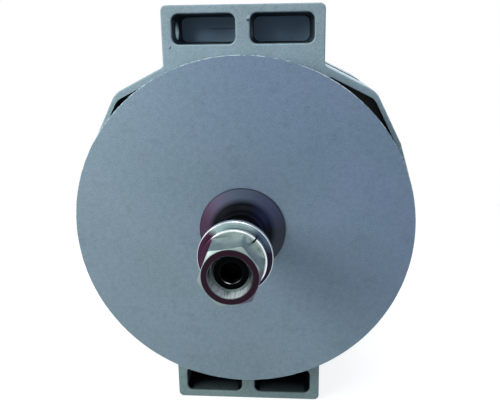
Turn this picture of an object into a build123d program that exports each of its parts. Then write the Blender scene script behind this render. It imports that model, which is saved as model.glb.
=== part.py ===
"""Heavy-duty brushless alternator, drive end forward, with its pulley left off.

The shaft lies along Y and +Z is up. The drive end looks along -Y. The origin is on
the shaft's axis, at the shoulder that a pulley is clamped against, so y is the
distance behind that shoulder. Lengths are in millimetres and angles in degrees.
"""
from build123d import *
import math
import os

os.makedirs("parts", exist_ok=True)

# Fits between pieces
running_gap = 0.6
seat_gap = 0.05
bolt_gap = 0.15

# Shaft
pulley_seat_radius = 11.0
pulley_seat_length = 29.4
fan_seat_radius = 11.2
thread_radius = 10.0
thread_length = 21.8
thread_relief_depth = 0.8
thread_relief_width = 2.0
shaft_end_chamfer = 1.7
socket_across_flats = 8.0
socket_depth = 10.0
socket_mouth_radius = 5.4
bearing_shoulder_radius = 16.0
rotor_seat_radius = 15.0
rear_neck_radius = 12.0

# Nut and washers on the shaft's end
nut_across_flats = 27.0
nut_height = 19.1
nut_turn = 8.5
nut_mouth_radius = 10.7
nut_chamfer_radius = 13.2
nut_chamfer_angle = 27.5
lock_washer_radius = 16.0
lock_washer_thickness = 5.2
lock_washer_split_angle = 48.0
lock_washer_split_width = 2.4
lock_washer_split_lean = 25.0
flat_washer_radius = 18.7
flat_washer_thickness = 3.2
flat_washer_edge = 0.5
washer_clearance = 0.4

# Collar that holds the fan
collar_length = 12.0
collar_nose_radius = 12.7
collar_base_radius = 15.2
collar_flange_radius = 24.0
collar_flange_edge = 0.9
collar_flange_height = 3.6
collar_nose_taper = 0.5
collar_root_height = 2.0

# Fan
fan_radius = 95.0
fan_plate = 3.0
fan_hub_radius = 23.0
fan_hub_depth = 12.0
blade_count = 14
blade_height = 16.0
blade_thickness = 2.6
blade_inner_radius = 48.0
blade_margin = 3.0
blade_sweep = 24.0
blade_bow = 4.0
fan_gap = 1.8

# Castings: the outline, from the front
bell_wall = 5.5
lug_rise = 1.5
lug_angle = 26.85
lug_runout_angle = 18.0
lug_rounding = 12.0
wing_half_width = 45.0
wing_rise = 23.5
wing_tip_radius = 3.0
wing_notch_radius = 2.5
casting_edge = 0.8

# Castings: depths and walls
wing_depth = 37.2
recess_depth = 14.0
recess_rim = 4.0
upper_wall = 4.0
side_wall = 2.6
recess_wing_gap = 3.0
recess_rounding = 9.0
end_wall = 8.0
spoke_count = 12
spoke_width = 8.0
spoke_fillet = 2.5
window_rim = 8.0
gusset_thickness = 6.0
gusset_drop = 5.0

# Wing pockets and the cross holes for the mounting bolts
pocket_inner_x = 4.0
pocket_side_wall = 5.8
pocket_floor = 2.5
pocket_roof = 4.6
pocket_radius = 4.0
pocket_depth = 33.0
pocket_lip = 0.8
mount_hole_radius = 5.25
mount_hole_setback = 17.2
mount_hole_drop = 13.8
mount_hole_pitch = 101.6

# Side vents of each casting
vent_count = 4
vent_pitch = 18.0
vent_height = 11.5
vent_length = 16.0
vent_radius = 3.0
vent_setback = 4.5

# Stator
stator_yoke = 11.5
stator_step = 4.0
stack_length = 46.0
stator_lap = 5.0
slot_count = 36
slot_width = 5.0
slot_depth = 18.0
weld_groove_count = 8
weld_groove_first = 22.5
weld_groove_radius = 1.5
bar_clearance = 0.3
end_turn_setback = 3.0
end_turn_spread = 4.0
end_turn_length = 15.0
end_turn_fillet = 5.0

# Through bolts
through_bolt_angle = 45.0
through_bolt_inset = 1.8
through_bolt_radius = 3.2
through_bolt_head = 11.1
through_bolt_head_height = 5.0
through_bolt_washer_radius = 6.4
through_bolt_washer = 1.2
through_bolt_overrun = 0.8

# Rotor
rotor_radius = 61.9
pole_pairs = 6
pole_disc = 14.0
pole_core_radius = 26.4
pole_rim_lap = 0.5
pole_rim_thickness = 3.0
pole_setback = 13.0
finger_thickness = 8.4
finger_tip_thickness = 4.4
finger_tip_gap = 5.6
finger_root_width = 25.0
finger_tip_width = 11.0
pole_ring_thickness = 2.6
pole_ring_width = 8.0

# Stationary field
field_core_bore = 27.0
field_sleeve_radius = 31.0
field_flange_length = 16.0
field_flange_stand = 4.4
field_coil_step = 2.4
field_coil_clearance = 1.0
field_coil_fillet = 2.0
field_screw_radius = 3.0
field_screw_head = 5.0
field_screw_count = 4
field_screw_thread = 10.0

# Front ball bearing
front_bearing_bore = 12.5
front_bearing_radius = 31.0
front_bearing_width = 17.0
front_bearing_stand = 2.8
front_inner_land = 17.0
front_outer_land = 26.2
ball_radius = 5.75
ball_count = 8
groove_gap = 0.06
ball_cage_inner = 20.3
ball_cage_outer = 22.7
ball_cage_width = 13.4
pocket_gap = 0.25
seal_thickness = 1.0
seal_inset = 0.2

# Rear roller bearing
rear_bearing_bore = 10.0
rear_bearing_radius = 26.0
rear_bearing_width = 15.0
rear_bearing_setback = 6.0
rear_inner_track = 13.6
rear_rib_radius = 19.6
roller_radius = 3.75
roller_length = 8.0
roller_count = 10
roller_gap = 0.05
roller_cage_inner = 16.3
roller_cage_outer = 18.5
roller_cage_width = 12.6

# Bearing hubs
front_hub_wall = 9.0
front_hub_lip = 4.0
front_hub_mouth = 18.2
spacer_radius = 17.0
retainer_thickness = 3.0
retainer_inner = 19.0
retainer_lap = 7.5
retainer_screw_setback = 3.8
retainer_screw_radius = 2.0
retainer_screw_head = 3.4
retainer_screw_count = 3
screw_head_height = 3.0
screw_tip_gap = 1.0
rear_cap_wall = 5.0
rear_rim = 13.5

# Rectifier
plate_cap_gap = 3.0
plate_cover_gap = 16.5
plate_thickness = 5.0
plate_cut_width = 82.0
plate_cut_gap = 4.2
plate_stand = 2.0
plate_pitch = 16.0
diode_setback = 14.0
diode_radius = 6.35
diode_flange = 7.4
diode_flange_height = 1.2
diode_height = 9.0
diode_lead_radius = 0.8
diode_count = 6
diode_first_angle = 15.0
diode_step = 30.0
rectifier_screw_inset = 10.0
rectifier_screw_radius = 2.5
rectifier_screw_head = 4.4
spacer_bush_radius = 6.0
post_radius = 6.5
phase_lead_radius = 1.6
phase_lead_gap = 4.2
phase_lead_bend = 5.0
phase_lead_angles = (45, 105, 165)
rectifier_post_angles = (30, 150, 210, 330)
regulator_post_angles = (240, 300)

# Voltage regulator
regulator_screw_gap = 7.0
regulator_height = 27.0
regulator_depth = 15.0
regulator_ear_reach = 14.0
regulator_ear_height = 13.0
regulator_ear_thickness = 3.0
regulator_fin_count = 7
regulator_fin = 2.4
regulator_fin_height = 4.0
regulator_corner = 2.0

# Rear cover
cover_setback = 9.0
cover_depth = 36.0
cover_wall = 2.5
cover_corner = 8.0
cover_slot_count = 13
cover_slot_first = 150.0
cover_slot_step = 20.0
cover_slot_inner = 34.0
cover_slot_outer = 68.0
cover_slot_width = 5.0
cover_boss_radius = 24.0
cover_boss_height = 2.0
cover_boss_taper = 20.0
cover_side_slot_count = 6
cover_side_slot_pitch = 9.0
cover_side_slot_height = 4.5
cover_side_slot_length = 18.0
ear_setback = 4.5
ear_radius = 5.0
ear_thickness = 3.0
cover_screw_radius = 2.5
cover_screw_head = 4.2
cover_screw_grip = 9.0

# Terminals, on the rear cover
terminal_inset = 12.0
output_angle = 60.0
relay_angle = 90.0
ground_angle = 120.0
output_stud_radius = 4.0
output_nut_flats = 13.0
output_nut_height = 6.5
output_washer_radius = 8.5
output_bush_radius = 10.5
output_bush_neck = 6.8
bush_collar = 5.0
ground_stud_radius = 3.0
ground_nut_flats = 10.0
ground_nut_height = 5.0
ground_washer_radius = 6.5
relay_stud_radius = 2.5
relay_nut_flats = 8.0
relay_nut_height = 4.0
relay_bush_radius = 7.0
relay_bush_neck = 4.4
stud_stand = 11.0
stud_relief = 0.3
stud_tip_chamfer = 0.6
stud_head_height = 4.0
output_head_radius = 5.4
ground_head_radius = 5.0
ground_plate_gap = 2.5
terminal_washer = 1.5

# Radii that follow, from the rotor outwards
finger_underside = rotor_radius - finger_thickness
finger_tip_underside = rotor_radius - finger_tip_thickness
pole_rim_radius = finger_underside + pole_rim_lap
field_flange_radius = pole_rim_radius - pole_rim_thickness - running_gap
field_coil_radius = field_flange_radius - field_coil_step
field_screw_circle = (field_sleeve_radius + field_flange_radius) / 2
stator_bore = rotor_radius + running_gap
stator_radius = stator_bore + slot_depth + stator_yoke
end_turn_inner = stator_bore + end_turn_setback
end_turn_outer = stator_bore + slot_depth + end_turn_spread
cavity_radius = stator_radius - stator_step
window_radius = cavity_radius - window_rim
body_radius = stator_radius + bell_wall
recess_radius = body_radius - recess_rim
rear_recess_radius = body_radius - rear_rim
lug_reach = body_radius + lug_rise
through_bolt_circle = lug_reach - through_bolt_inset
wing_reach = body_radius + wing_rise
blade_outer_radius = fan_radius - blade_margin

# Radii of the hubs, and of what the rear cover holds
front_hub_radius = front_bearing_radius + front_hub_wall
retainer_screw_circle = front_bearing_radius + retainer_screw_setback
retainer_outer = front_bearing_radius + retainer_lap
rear_cap_radius = rear_bearing_radius + rear_cap_wall
cover_radius = body_radius - cover_setback
ear_circle = body_radius - ear_setback
plate_outer = cover_radius - plate_cover_gap
plate_inner = rear_cap_radius + plate_cap_gap
diode_circle = plate_inner + diode_setback
rectifier_screw_circle = plate_outer - rectifier_screw_inset
terminal_circle = plate_outer - terminal_inset
phase_lead_circle = plate_outer + phase_lead_gap

# Heights and half widths in the wings
recess_start = wing_half_width + recess_wing_gap
pocket_outer_x = wing_half_width - pocket_side_wall
pocket_low_z = body_radius + pocket_floor
pocket_high_z = wing_reach - pocket_roof
mount_hole_z = wing_reach - mount_hole_drop

# Stations along the shaft, from the front
shaft_front = -pulley_seat_length - thread_length
fan_front = collar_length
fan_back = fan_front + fan_plate
housing_front = fan_back + blade_height + fan_gap
recess_floor = housing_front + recess_depth
cavity_front = recess_floor + end_wall
through_bolt_start = cavity_front - through_bolt_overrun
wing_back = housing_front + wing_depth
mount_hole_y = housing_front + mount_hole_setback
stator_middle = mount_hole_y + mount_hole_pitch / 2
stack_front = stator_middle - stack_length / 2
stack_back = stator_middle + stack_length / 2
casting_back = stack_front + stator_lap
rear_face = 2 * stator_middle - housing_front
rear_wall_back = 2 * stator_middle - recess_floor
rear_wall_front = 2 * stator_middle - cavity_front
front_bearing_front = recess_floor - front_bearing_stand
front_bearing_back = front_bearing_front + front_bearing_width
front_bearing_middle = front_bearing_front + front_bearing_width / 2
pole_front = front_bearing_back + pole_setback
pole_back = 2 * stator_middle - pole_front
field_flange_back = pole_back + field_flange_stand
rear_bearing_front = field_flange_back + rear_bearing_setback
rear_bearing_back = rear_bearing_front + rear_bearing_width
rear_bearing_middle = rear_bearing_front + rear_bearing_width / 2
rear_cap_back = rear_bearing_back + rear_cap_wall
negative_plate_front = rear_cap_back + plate_stand
negative_plate_back = negative_plate_front + plate_thickness
positive_plate_front = negative_plate_front + plate_pitch
positive_plate_back = positive_plate_front + plate_thickness
cover_back = rear_face + cover_depth


def station(y):
    """A plane square to the shaft: its own x runs along X and its own y along Z."""
    return Plane(origin=(0, y, 0), x_dir=(1, 0, 0), z_dir=(0, -1, 0))


def polar(radius, angle):
    """A point in a station plane, at an angle from +X towards +Z."""
    return (radius * math.cos(math.radians(angle)), radius * math.sin(math.radians(angle)))


def half_section(*points):
    """A closed outline of radius and station, ready to be turned about the shaft."""
    with BuildSketch(Plane.XY) as section:
        with BuildLine():
            Polyline(*points, close=True)
        make_face()
    return section.sketch


def band(inner, outer, front, back):
    """The half section of a plain ring between two radii and two stations."""
    return half_section((inner, front), (outer, front), (outer, back), (inner, back))


def line_height(distance, angle, x):
    """How high a flat stands at x, from its distance to the shaft and its normal's angle."""
    normal = math.radians(angle)
    return (distance - x * math.cos(normal)) / math.sin(normal)


def flats_corner(upper, side):
    """Where the upper flat and the side flat of a lug meet."""
    lean = math.radians(lug_angle)
    spread = math.sin(math.radians(90 - 2 * lug_angle))
    x = (side * math.cos(lean) - upper * math.sin(lean)) / spread
    z = (upper * math.cos(lean) - side * math.sin(lean)) / spread
    return (x, z)


def lug(upper, side, start_x, rim, rounding):
    """One corner lug in the upper right, from inside the body out to its two flats."""
    runout = polar(rim, lug_runout_angle)
    root = (start_x, start_x * math.tan(math.radians(lug_runout_angle)))
    top = (start_x, line_height(upper, 90 - lug_angle, start_x))
    corner = flats_corner(upper, side)
    with BuildSketch(Plane.XY) as outline:
        with BuildLine():
            Polyline(root, top, corner, polar(side, lug_angle), runout, close=True)
        make_face()
        fillet(outline.vertices().sort_by_distance((*corner, 0))[0], rounding)
    return outline.sketch


def body_face(with_wings):
    """The outline of a casting from the front, with or without its two wings."""
    with BuildSketch(Plane.XY) as outline:
        add(lug(lug_reach, lug_reach, wing_half_width, body_radius, lug_rounding))
        mirror(about=Plane.YZ)
        mirror(about=Plane.XZ)
        Circle(body_radius)
        if with_wings:
            Rectangle(2 * wing_half_width, 2 * wing_reach)
            sides = outline.vertices().filter_by(lambda v: abs(abs(v.X) - wing_half_width) < 0.01)
            tips = sides.filter_by(lambda v: abs(abs(v.Y) - wing_reach) < 0.01)
            fillet(tips, wing_tip_radius)
            sides = outline.vertices().filter_by(lambda v: abs(abs(v.X) - wing_half_width) < 0.01)
            notches = sides.filter_by(lambda v: abs(v.Y) < (wing_reach + body_radius) / 2)
            fillet(notches, wing_notch_radius)
    return outline.sketch


def ring_holes(circle, count, radius, first=0.0):
    """Round holes or bosses on a circle about the shaft."""
    with BuildSketch(Plane.XY) as holes:
        with PolarLocations(circle, count, start_angle=first):
            Circle(radius)
    return holes.sketch


def wing_casting():
    """What both castings share, shown at the drive end: bell, lugs, wings and vents."""
    with BuildPart() as casting:
        with BuildSketch(station(housing_front)):
            add(body_face(True))
        extrude(amount=-wing_depth)
        fillet(casting.faces().sort_by(Axis.Y)[0].edges(), casting_edge)
        with BuildSketch(station(wing_back)):
            add(body_face(False))
        extrude(amount=wing_back - casting_back)

        # Gussets carry each wing back to the bell
        wall_middle = (cavity_radius + body_radius) / 2
        edge_x = wing_half_width - gusset_thickness / 2
        for x in (-edge_x, 0, edge_x):
            root_z = math.sqrt(wall_middle**2 - x**2)
            with BuildSketch(Plane.YZ.offset(x)):
                with BuildLine():
                    Polyline((wing_back, root_z), (wing_back, wing_reach - gusset_drop),
                             (casting_back, root_z), close=True)
                make_face()
                mirror(about=Plane.XZ)
            extrude(amount=gusset_thickness / 2, both=True)

        # Hollow of the bell, with a seat for the stator at its back
        with BuildSketch(station(cavity_front)):
            Circle(cavity_radius)
        extrude(amount=cavity_front - casting_back, mode=Mode.SUBTRACT)
        with BuildSketch(station(stack_front)):
            Circle(stator_radius + seat_gap)
        extrude(amount=stack_front - casting_back, mode=Mode.SUBTRACT)

        # Vents through both sides of the bell
        vent_middle = cavity_front + vent_setback + vent_length / 2
        with BuildSketch(Plane.YZ):
            with Locations((vent_middle, 0)):
                with GridLocations(0, vent_pitch, 1, vent_count):
                    RectangleRounded(vent_length, vent_height, vent_radius)
        extrude(amount=lug_reach + wing_half_width, both=True, mode=Mode.SUBTRACT)

        # Windows between the spokes of the end wall
        with BuildSketch(station(housing_front)) as windows:
            Circle(window_radius)
            Circle(front_hub_radius, mode=Mode.SUBTRACT)
            with PolarLocations(body_radius / 2, spoke_count):
                Rectangle(body_radius, spoke_width, mode=Mode.SUBTRACT)
            fillet(windows.vertices(), spoke_fillet)
        extrude(amount=housing_front - cavity_front, mode=Mode.SUBTRACT)

        # Two pockets in each wing, and the cross holes behind their mouths
        pocket_x = (pocket_inner_x + pocket_outer_x) / 2
        pocket_z = (pocket_low_z + pocket_high_z) / 2
        with BuildSketch(station(housing_front)):
            with GridLocations(2 * pocket_x, 2 * pocket_z, 2, 2):
                RectangleRounded(pocket_outer_x - pocket_inner_x,
                                 pocket_high_z - pocket_low_z, pocket_radius)
        extrude(amount=-pocket_depth, mode=Mode.SUBTRACT)
        openings = casting.faces().sort_by(Axis.Y)[0].inner_wires()
        mouths = openings.filter_by(lambda w: abs(w.center().Z) > body_radius)
        fillet(mouths.edges(), pocket_lip)
        with BuildSketch(Plane.YZ):
            with Locations((mount_hole_y, mount_hole_z), (mount_hole_y, -mount_hole_z)):
                Circle(mount_hole_radius)
        extrude(amount=wing_half_width + wing_tip_radius, both=True, mode=Mode.SUBTRACT)

        # Blind holes for the through bolts, one in each lug
        with BuildSketch(station(through_bolt_start)):
            add(ring_holes(through_bolt_circle, 4, through_bolt_radius + bolt_gap,
                       through_bolt_angle))
        extrude(amount=through_bolt_start - casting_back, mode=Mode.SUBTRACT)
    return casting.part


shared_casting = wing_casting()

# Drive end casting: the hub of the front bearing, and the open face behind the fan
with BuildPart() as drive_end_housing:
    add(shared_casting)
    with BuildSketch(station(housing_front)) as mouth:
        add(lug(lug_reach - upper_wall, lug_reach - side_wall, recess_start,
                recess_radius, recess_rounding))
        mirror(about=Plane.YZ)
        mirror(about=Plane.XZ)
        Circle(recess_radius)
    extrude(amount=-recess_depth, mode=Mode.SUBTRACT)
    hub_front = front_bearing_front - front_hub_lip
    revolve(band(0, front_hub_radius, hub_front, front_bearing_back), axis=Axis.Y)
    revolve(band(0, front_hub_mouth, hub_front, front_bearing_back), axis=Axis.Y,
            mode=Mode.SUBTRACT)
    revolve(band(0, front_bearing_radius, front_bearing_front, front_bearing_back),
            axis=Axis.Y, mode=Mode.SUBTRACT)
    with BuildSketch(station(front_bearing_back)):
        add(ring_holes(retainer_screw_circle, retainer_screw_count,
                       retainer_screw_radius + seat_gap, 90))
    extrude(amount=front_bearing_width / 2, mode=Mode.SUBTRACT)
drive_end_housing.part.label = "drive_end_housing"
export_step(drive_end_housing.part, "parts/drive_end_housing.step")

# Rear casting: the same bell turned round, with the rear bearing's hub and the posts
with BuildPart() as rear_housing:
    add(mirror(shared_casting, about=station(stator_middle), mode=Mode.PRIVATE))
    with BuildSketch(station(rear_face)):
        Circle(rear_recess_radius)
    extrude(amount=recess_depth, mode=Mode.SUBTRACT)
    revolve(band(0, field_flange_radius, field_flange_back, rear_wall_back), axis=Axis.Y)
    revolve(band(0, rear_cap_radius, rear_wall_back, rear_cap_back), axis=Axis.Y)
    for angle in rectifier_post_angles + regulator_post_angles:
        with BuildSketch(station(negative_plate_front)):
            with Locations(polar(rectifier_screw_circle, angle)):
                Circle(post_radius)
        extrude(amount=negative_plate_front - rear_wall_front)
        with BuildSketch(station(negative_plate_front)):
            with Locations(polar(rectifier_screw_circle, angle)):
                Circle(rectifier_screw_radius + seat_gap)
        extrude(amount=end_wall, mode=Mode.SUBTRACT)
    revolve(band(0, rear_bearing_radius, field_flange_back, rear_bearing_back),
            axis=Axis.Y, mode=Mode.SUBTRACT)
    with BuildSketch(station(rear_wall_back)):
        add(ring_holes(field_screw_circle, field_screw_count, field_screw_radius + bolt_gap))
    extrude(amount=rear_wall_back - field_flange_back, mode=Mode.SUBTRACT)
    with BuildSketch(station(rear_face)):
        add(ring_holes(through_bolt_circle, 4, through_bolt_radius + bolt_gap,
                       through_bolt_angle))
    extrude(amount=wing_depth, mode=Mode.SUBTRACT)
    with BuildSketch(station(rear_face)):
        add(ring_holes(ear_circle, 4, cover_screw_radius + seat_gap))
    extrude(amount=cover_screw_grip, mode=Mode.SUBTRACT)
rear_housing.part.label = "rear_housing"
export_step(rear_housing.part, "parts/rear_housing.step")

# Stator: a slotted stack of laminations, with weld grooves down its outside
with BuildPart() as stator_core:
    with BuildSketch(station(stack_front)):
        Circle(stator_radius)
        Circle(stator_bore, mode=Mode.SUBTRACT)
        slot_middle = stator_bore + slot_depth / 2 - seat_gap
        with PolarLocations(slot_middle, slot_count):
            Rectangle(slot_depth, slot_width, mode=Mode.SUBTRACT)
        with PolarLocations(stator_radius, weld_groove_count, start_angle=weld_groove_first):
            Circle(weld_groove_radius, mode=Mode.SUBTRACT)
    extrude(amount=-stack_length)
stator_core.part.label = "stator_core"
export_step(stator_core.part, "parts/stator_core.step")

# Winding: a bar in each slot, joined by a rounded bundle of end turns at each end
with BuildPart() as stator_winding:
    bar_top = stator_bore + slot_depth - bar_clearance
    bar_length = bar_top - end_turn_inner
    with BuildSketch(station(stack_front)):
        with PolarLocations((bar_top + end_turn_inner) / 2, slot_count):
            Rectangle(bar_length, slot_width - 2 * bar_clearance)
    extrude(amount=-stack_length)
    for front in (stack_front - end_turn_length, stack_back):
        with BuildSketch(Plane.XY) as bundle:
            with Locations(((end_turn_inner + end_turn_outer) / 2, front + end_turn_length / 2)):
                RectangleRounded(end_turn_outer - end_turn_inner, end_turn_length,
                                 end_turn_fillet)
        revolve(axis=Axis.Y)
stator_winding.part.label = "stator_winding"
export_step(stator_winding.part, "parts/stator_winding.step")

# Through bolts: hex head and washer on the rear casting, thread in the drive end's lugs
with BuildPart() as through_bolts:
    head_front = rear_face + through_bolt_washer
    with BuildSketch(station(through_bolt_start + end_wall / 2)):
        add(ring_holes(through_bolt_circle, 4, through_bolt_radius, through_bolt_angle))
    extrude(amount=through_bolt_start + end_wall / 2 - head_front)
    with BuildSketch(station(rear_face)):
        add(ring_holes(through_bolt_circle, 4, through_bolt_washer_radius,
                       through_bolt_angle))
    extrude(amount=-through_bolt_washer)
    with BuildSketch(station(head_front)):
        with PolarLocations(through_bolt_circle, 4, start_angle=through_bolt_angle):
            RegularPolygon(through_bolt_head / 2, 6, major_radius=False)
    extrude(amount=-through_bolt_head_height)
through_bolts.part.label = "through_bolts"
export_step(through_bolts.part, "parts/through_bolts.step")

# Shaft: thread, pulley seat, bearing seats and rotor seat, with a hex socket in its end
with BuildPart() as rotor_shaft:
    relief = thread_radius - thread_relief_depth
    seat_end = -pulley_seat_length
    revolve(
        half_section(
            (0, shaft_front),
            (thread_radius - shaft_end_chamfer, shaft_front),
            (thread_radius, shaft_front + shaft_end_chamfer),
            (thread_radius, seat_end - thread_relief_width),
            (relief, seat_end - thread_relief_width),
            (relief, seat_end),
            (pulley_seat_radius, seat_end),
            (pulley_seat_radius, 0),
            (fan_seat_radius, 0),
            (fan_seat_radius, front_bearing_front),
            (front_bearing_bore, front_bearing_front),
            (front_bearing_bore, front_bearing_back),
            (bearing_shoulder_radius, front_bearing_back),
            (bearing_shoulder_radius, pole_front),
            (rotor_seat_radius, pole_front),
            (rotor_seat_radius, stack_back),
            (rear_neck_radius, stack_back),
            (rear_neck_radius, rear_bearing_front),
            (rear_bearing_bore, rear_bearing_front),
            (rear_bearing_bore, rear_bearing_back - running_gap),
            (0, rear_bearing_back - running_gap),
        ),
        axis=Axis.Y,
    )
    with BuildSketch(station(shaft_front)):
        RegularPolygon(socket_across_flats / 2, 6, major_radius=False)
    extrude(amount=-socket_depth, mode=Mode.SUBTRACT)
    revolve(
        half_section((0, shaft_front), (socket_mouth_radius, shaft_front),
                     (0, shaft_front + socket_mouth_radius)),
        axis=Axis.Y,
        mode=Mode.SUBTRACT,
    )
rotor_shaft.part.label = "rotor_shaft"
export_step(rotor_shaft.part, "parts/rotor_shaft.step")


def pole_fingers():
    """Tapered prisms through the claws of one pole, widest at the disc."""
    with BuildPart() as prisms:
        for k in range(pole_pairs):
            angle = math.radians(k * 360 / pole_pairs)
            outward = Plane(origin=(0, 0, 0), x_dir=(0, 1, 0),
                            z_dir=(math.cos(angle), 0, math.sin(angle)))
            finger_end = pole_back - finger_tip_gap
            with BuildSketch(outward):
                with BuildLine():
                    Polyline((pole_front, -finger_root_width / 2),
                             (pole_front, finger_root_width / 2),
                             (finger_end, finger_tip_width / 2),
                             (finger_end, -finger_tip_width / 2), close=True)
                make_face()
            extrude(amount=rotor_radius + pole_disc)
    return prisms.part


def pole_bell():
    """The turned bell that the claws of one pole are cut from."""
    finger_end = pole_back - finger_tip_gap
    finger_bend = stator_middle + pole_ring_width / 2
    return half_section(
        (finger_underside, pole_front),
        (rotor_radius, pole_front),
        (rotor_radius, finger_end),
        (finger_tip_underside, finger_end),
        (finger_underside, finger_bend),
    )


# Front pole: six claws on a disc, with the core that presses on to the shaft
fingers = pole_fingers()
with BuildPart() as front_pole:
    revolve(pole_bell(), axis=Axis.Y)
    add(fingers, mode=Mode.INTERSECT)
    revolve(band(rotor_seat_radius, pole_rim_radius, pole_front, pole_front + pole_disc),
            axis=Axis.Y)
    core_back = field_flange_back - field_flange_length
    revolve(band(rotor_seat_radius, pole_core_radius, pole_front, core_back), axis=Axis.Y)
front_pole.part.label = "front_pole"
export_step(front_pole.part, "parts/front_pole.step")

# Rear pole: the same claws facing forward on a bare rim, half a pole pitch round
with BuildPart() as rear_claws:
    revolve(pole_bell(), axis=Axis.Y)
    add(fingers, mode=Mode.INTERSECT)
rim_inner = field_flange_radius + running_gap
with BuildPart() as rear_pole:
    turned = rear_claws.part.rotate(Axis.Y, 180 / pole_pairs)
    add(mirror(turned, about=station(stator_middle), mode=Mode.PRIVATE))
    revolve(band(rim_inner, pole_rim_radius, pole_back - pole_disc, pole_back), axis=Axis.Y)
rear_pole.part.label = "rear_pole"
export_step(rear_pole.part, "parts/rear_pole.step")

# Ring of non-magnetic metal that carries the rear pole under both sets of claws
with BuildPart() as pole_ring:
    ring_front = stator_middle - pole_ring_width / 2
    revolve(band(finger_underside - pole_ring_thickness, finger_underside,
                 ring_front, ring_front + pole_ring_width), axis=Axis.Y)
pole_ring.part.label = "pole_ring"
export_step(pole_ring.part, "parts/pole_ring.step")

# Field core: a sleeve and flange bolted to the rear casting, standing inside the rotor
with BuildPart() as field_core:
    sleeve_front = pole_front + pole_disc + running_gap
    flange_front = field_flange_back - field_flange_length
    revolve(
        half_section(
            (field_core_bore, sleeve_front),
            (field_sleeve_radius, sleeve_front),
            (field_sleeve_radius, flange_front),
            (field_flange_radius, flange_front),
            (field_flange_radius, field_flange_back),
            (field_core_bore, field_flange_back),
        ),
        axis=Axis.Y,
    )
    with BuildSketch(station(field_flange_back)):
        add(ring_holes(field_screw_circle, field_screw_count, field_screw_radius + seat_gap))
    extrude(amount=field_screw_thread, mode=Mode.SUBTRACT)
field_core.part.label = "field_core"
export_step(field_core.part, "parts/field_core.step")

# Field coil, wound on the sleeve of the field core
with BuildPart() as field_coil:
    coil_front = sleeve_front + field_coil_clearance
    revolve(band(field_sleeve_radius, field_coil_radius, coil_front, flange_front),
            axis=Axis.Y)
    fillet(field_coil.edges().filter_by(GeomType.CIRCLE).group_by(SortBy.RADIUS)[-1],
           field_coil_fillet)
field_coil.part.label = "field_coil"
export_step(field_coil.part, "parts/field_coil.step")

# Screws that hold the field core, put in from behind the rear wall
with BuildPart() as field_core_screws:
    screw_tip = field_flange_back - field_screw_thread + screw_tip_gap
    with BuildSketch(station(rear_wall_back)):
        add(ring_holes(field_screw_circle, field_screw_count, field_screw_radius))
    extrude(amount=rear_wall_back - screw_tip)
    with BuildSketch(station(rear_wall_back)):
        add(ring_holes(field_screw_circle, field_screw_count, field_screw_head))
    extrude(amount=-screw_head_height)
field_core_screws.part.label = "field_core_screws"
export_step(field_core_screws.part, "parts/field_core_screws.step")

# Fan: a plain disc with swept blades behind it and a hub round the shaft
with BuildPart() as fan:
    revolve(band(fan_seat_radius, fan_radius, fan_front, fan_back), axis=Axis.Y)
    revolve(band(fan_seat_radius, fan_hub_radius, fan_back, fan_back + fan_hub_depth),
            axis=Axis.Y)
    for k in range(blade_count):
        turn = k * 360 / blade_count
        blade_root = polar(blade_inner_radius, turn)
        blade_tip = polar(blade_outer_radius, turn + blade_sweep)
        middle_radius = (blade_inner_radius + blade_outer_radius) / 2
        blade_middle = polar(middle_radius + blade_bow, turn + blade_sweep / 2)
        with BuildSketch(station(fan_back)):
            with BuildLine():
                ThreePointArc(blade_root, blade_middle, blade_tip)
            trace(line_width=blade_thickness)
        extrude(amount=-blade_height)
fan.part.label = "fan"
export_step(fan.part, "parts/fan.step")

# Collar: a flange on the fan's face that cones down to the pulley's shoulder
with BuildPart() as fan_collar:
    cone_front = collar_length - collar_flange_height
    revolve(
        half_section(
            (fan_seat_radius, 0),
            (collar_nose_radius, 0),
            (collar_nose_radius + collar_nose_taper, cone_front - collar_root_height),
            (collar_base_radius, cone_front),
            (collar_flange_radius, collar_length - collar_flange_edge),
            (collar_flange_radius, collar_length),
            (fan_seat_radius, collar_length),
        ),
        axis=Axis.Y,
    )
fan_collar.part.label = "fan_collar"
export_step(fan_collar.part, "parts/fan_collar.step")

# Spacer between the fan's hub and the front bearing
with BuildPart() as inner_spacer:
    revolve(band(fan_seat_radius, spacer_radius, fan_back + fan_hub_depth,
                 front_bearing_front), axis=Axis.Y)
inner_spacer.part.label = "inner_spacer"
export_step(inner_spacer.part, "parts/inner_spacer.step")

# Pulley nut: hexagon with both ends chamfered
with BuildPart() as pulley_nut:
    washer_front = -pulley_seat_length - flat_washer_thickness
    nut_back = washer_front - lock_washer_thickness
    nut_front = nut_back - nut_height
    nut_outside = nut_across_flats / math.sqrt(3) + running_gap
    nut_slope = math.tan(math.radians(nut_chamfer_angle))
    chamfer_depth = (nut_outside - nut_chamfer_radius) * nut_slope
    with BuildSketch(station(nut_back)):
        RegularPolygon(nut_across_flats / 2, 6, major_radius=False, rotation=nut_turn - 30)
    extrude(amount=nut_height)
    revolve(
        half_section(
            (0, nut_front),
            (nut_chamfer_radius, nut_front),
            (nut_outside, nut_front + chamfer_depth),
            (nut_outside, nut_back - chamfer_depth),
            (nut_chamfer_radius, nut_back),
            (0, nut_back),
        ),
        axis=Axis.Y,
        mode=Mode.INTERSECT,
    )
    revolve(band(0, thread_radius + seat_gap, nut_front, nut_back), axis=Axis.Y,
            mode=Mode.SUBTRACT)
    revolve(half_section((0, nut_front), (nut_mouth_radius, nut_front),
                         (0, nut_front + nut_mouth_radius)), axis=Axis.Y,
            mode=Mode.SUBTRACT)
pulley_nut.part.label = "pulley_nut"
export_step(pulley_nut.part, "parts/pulley_nut.step")

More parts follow.
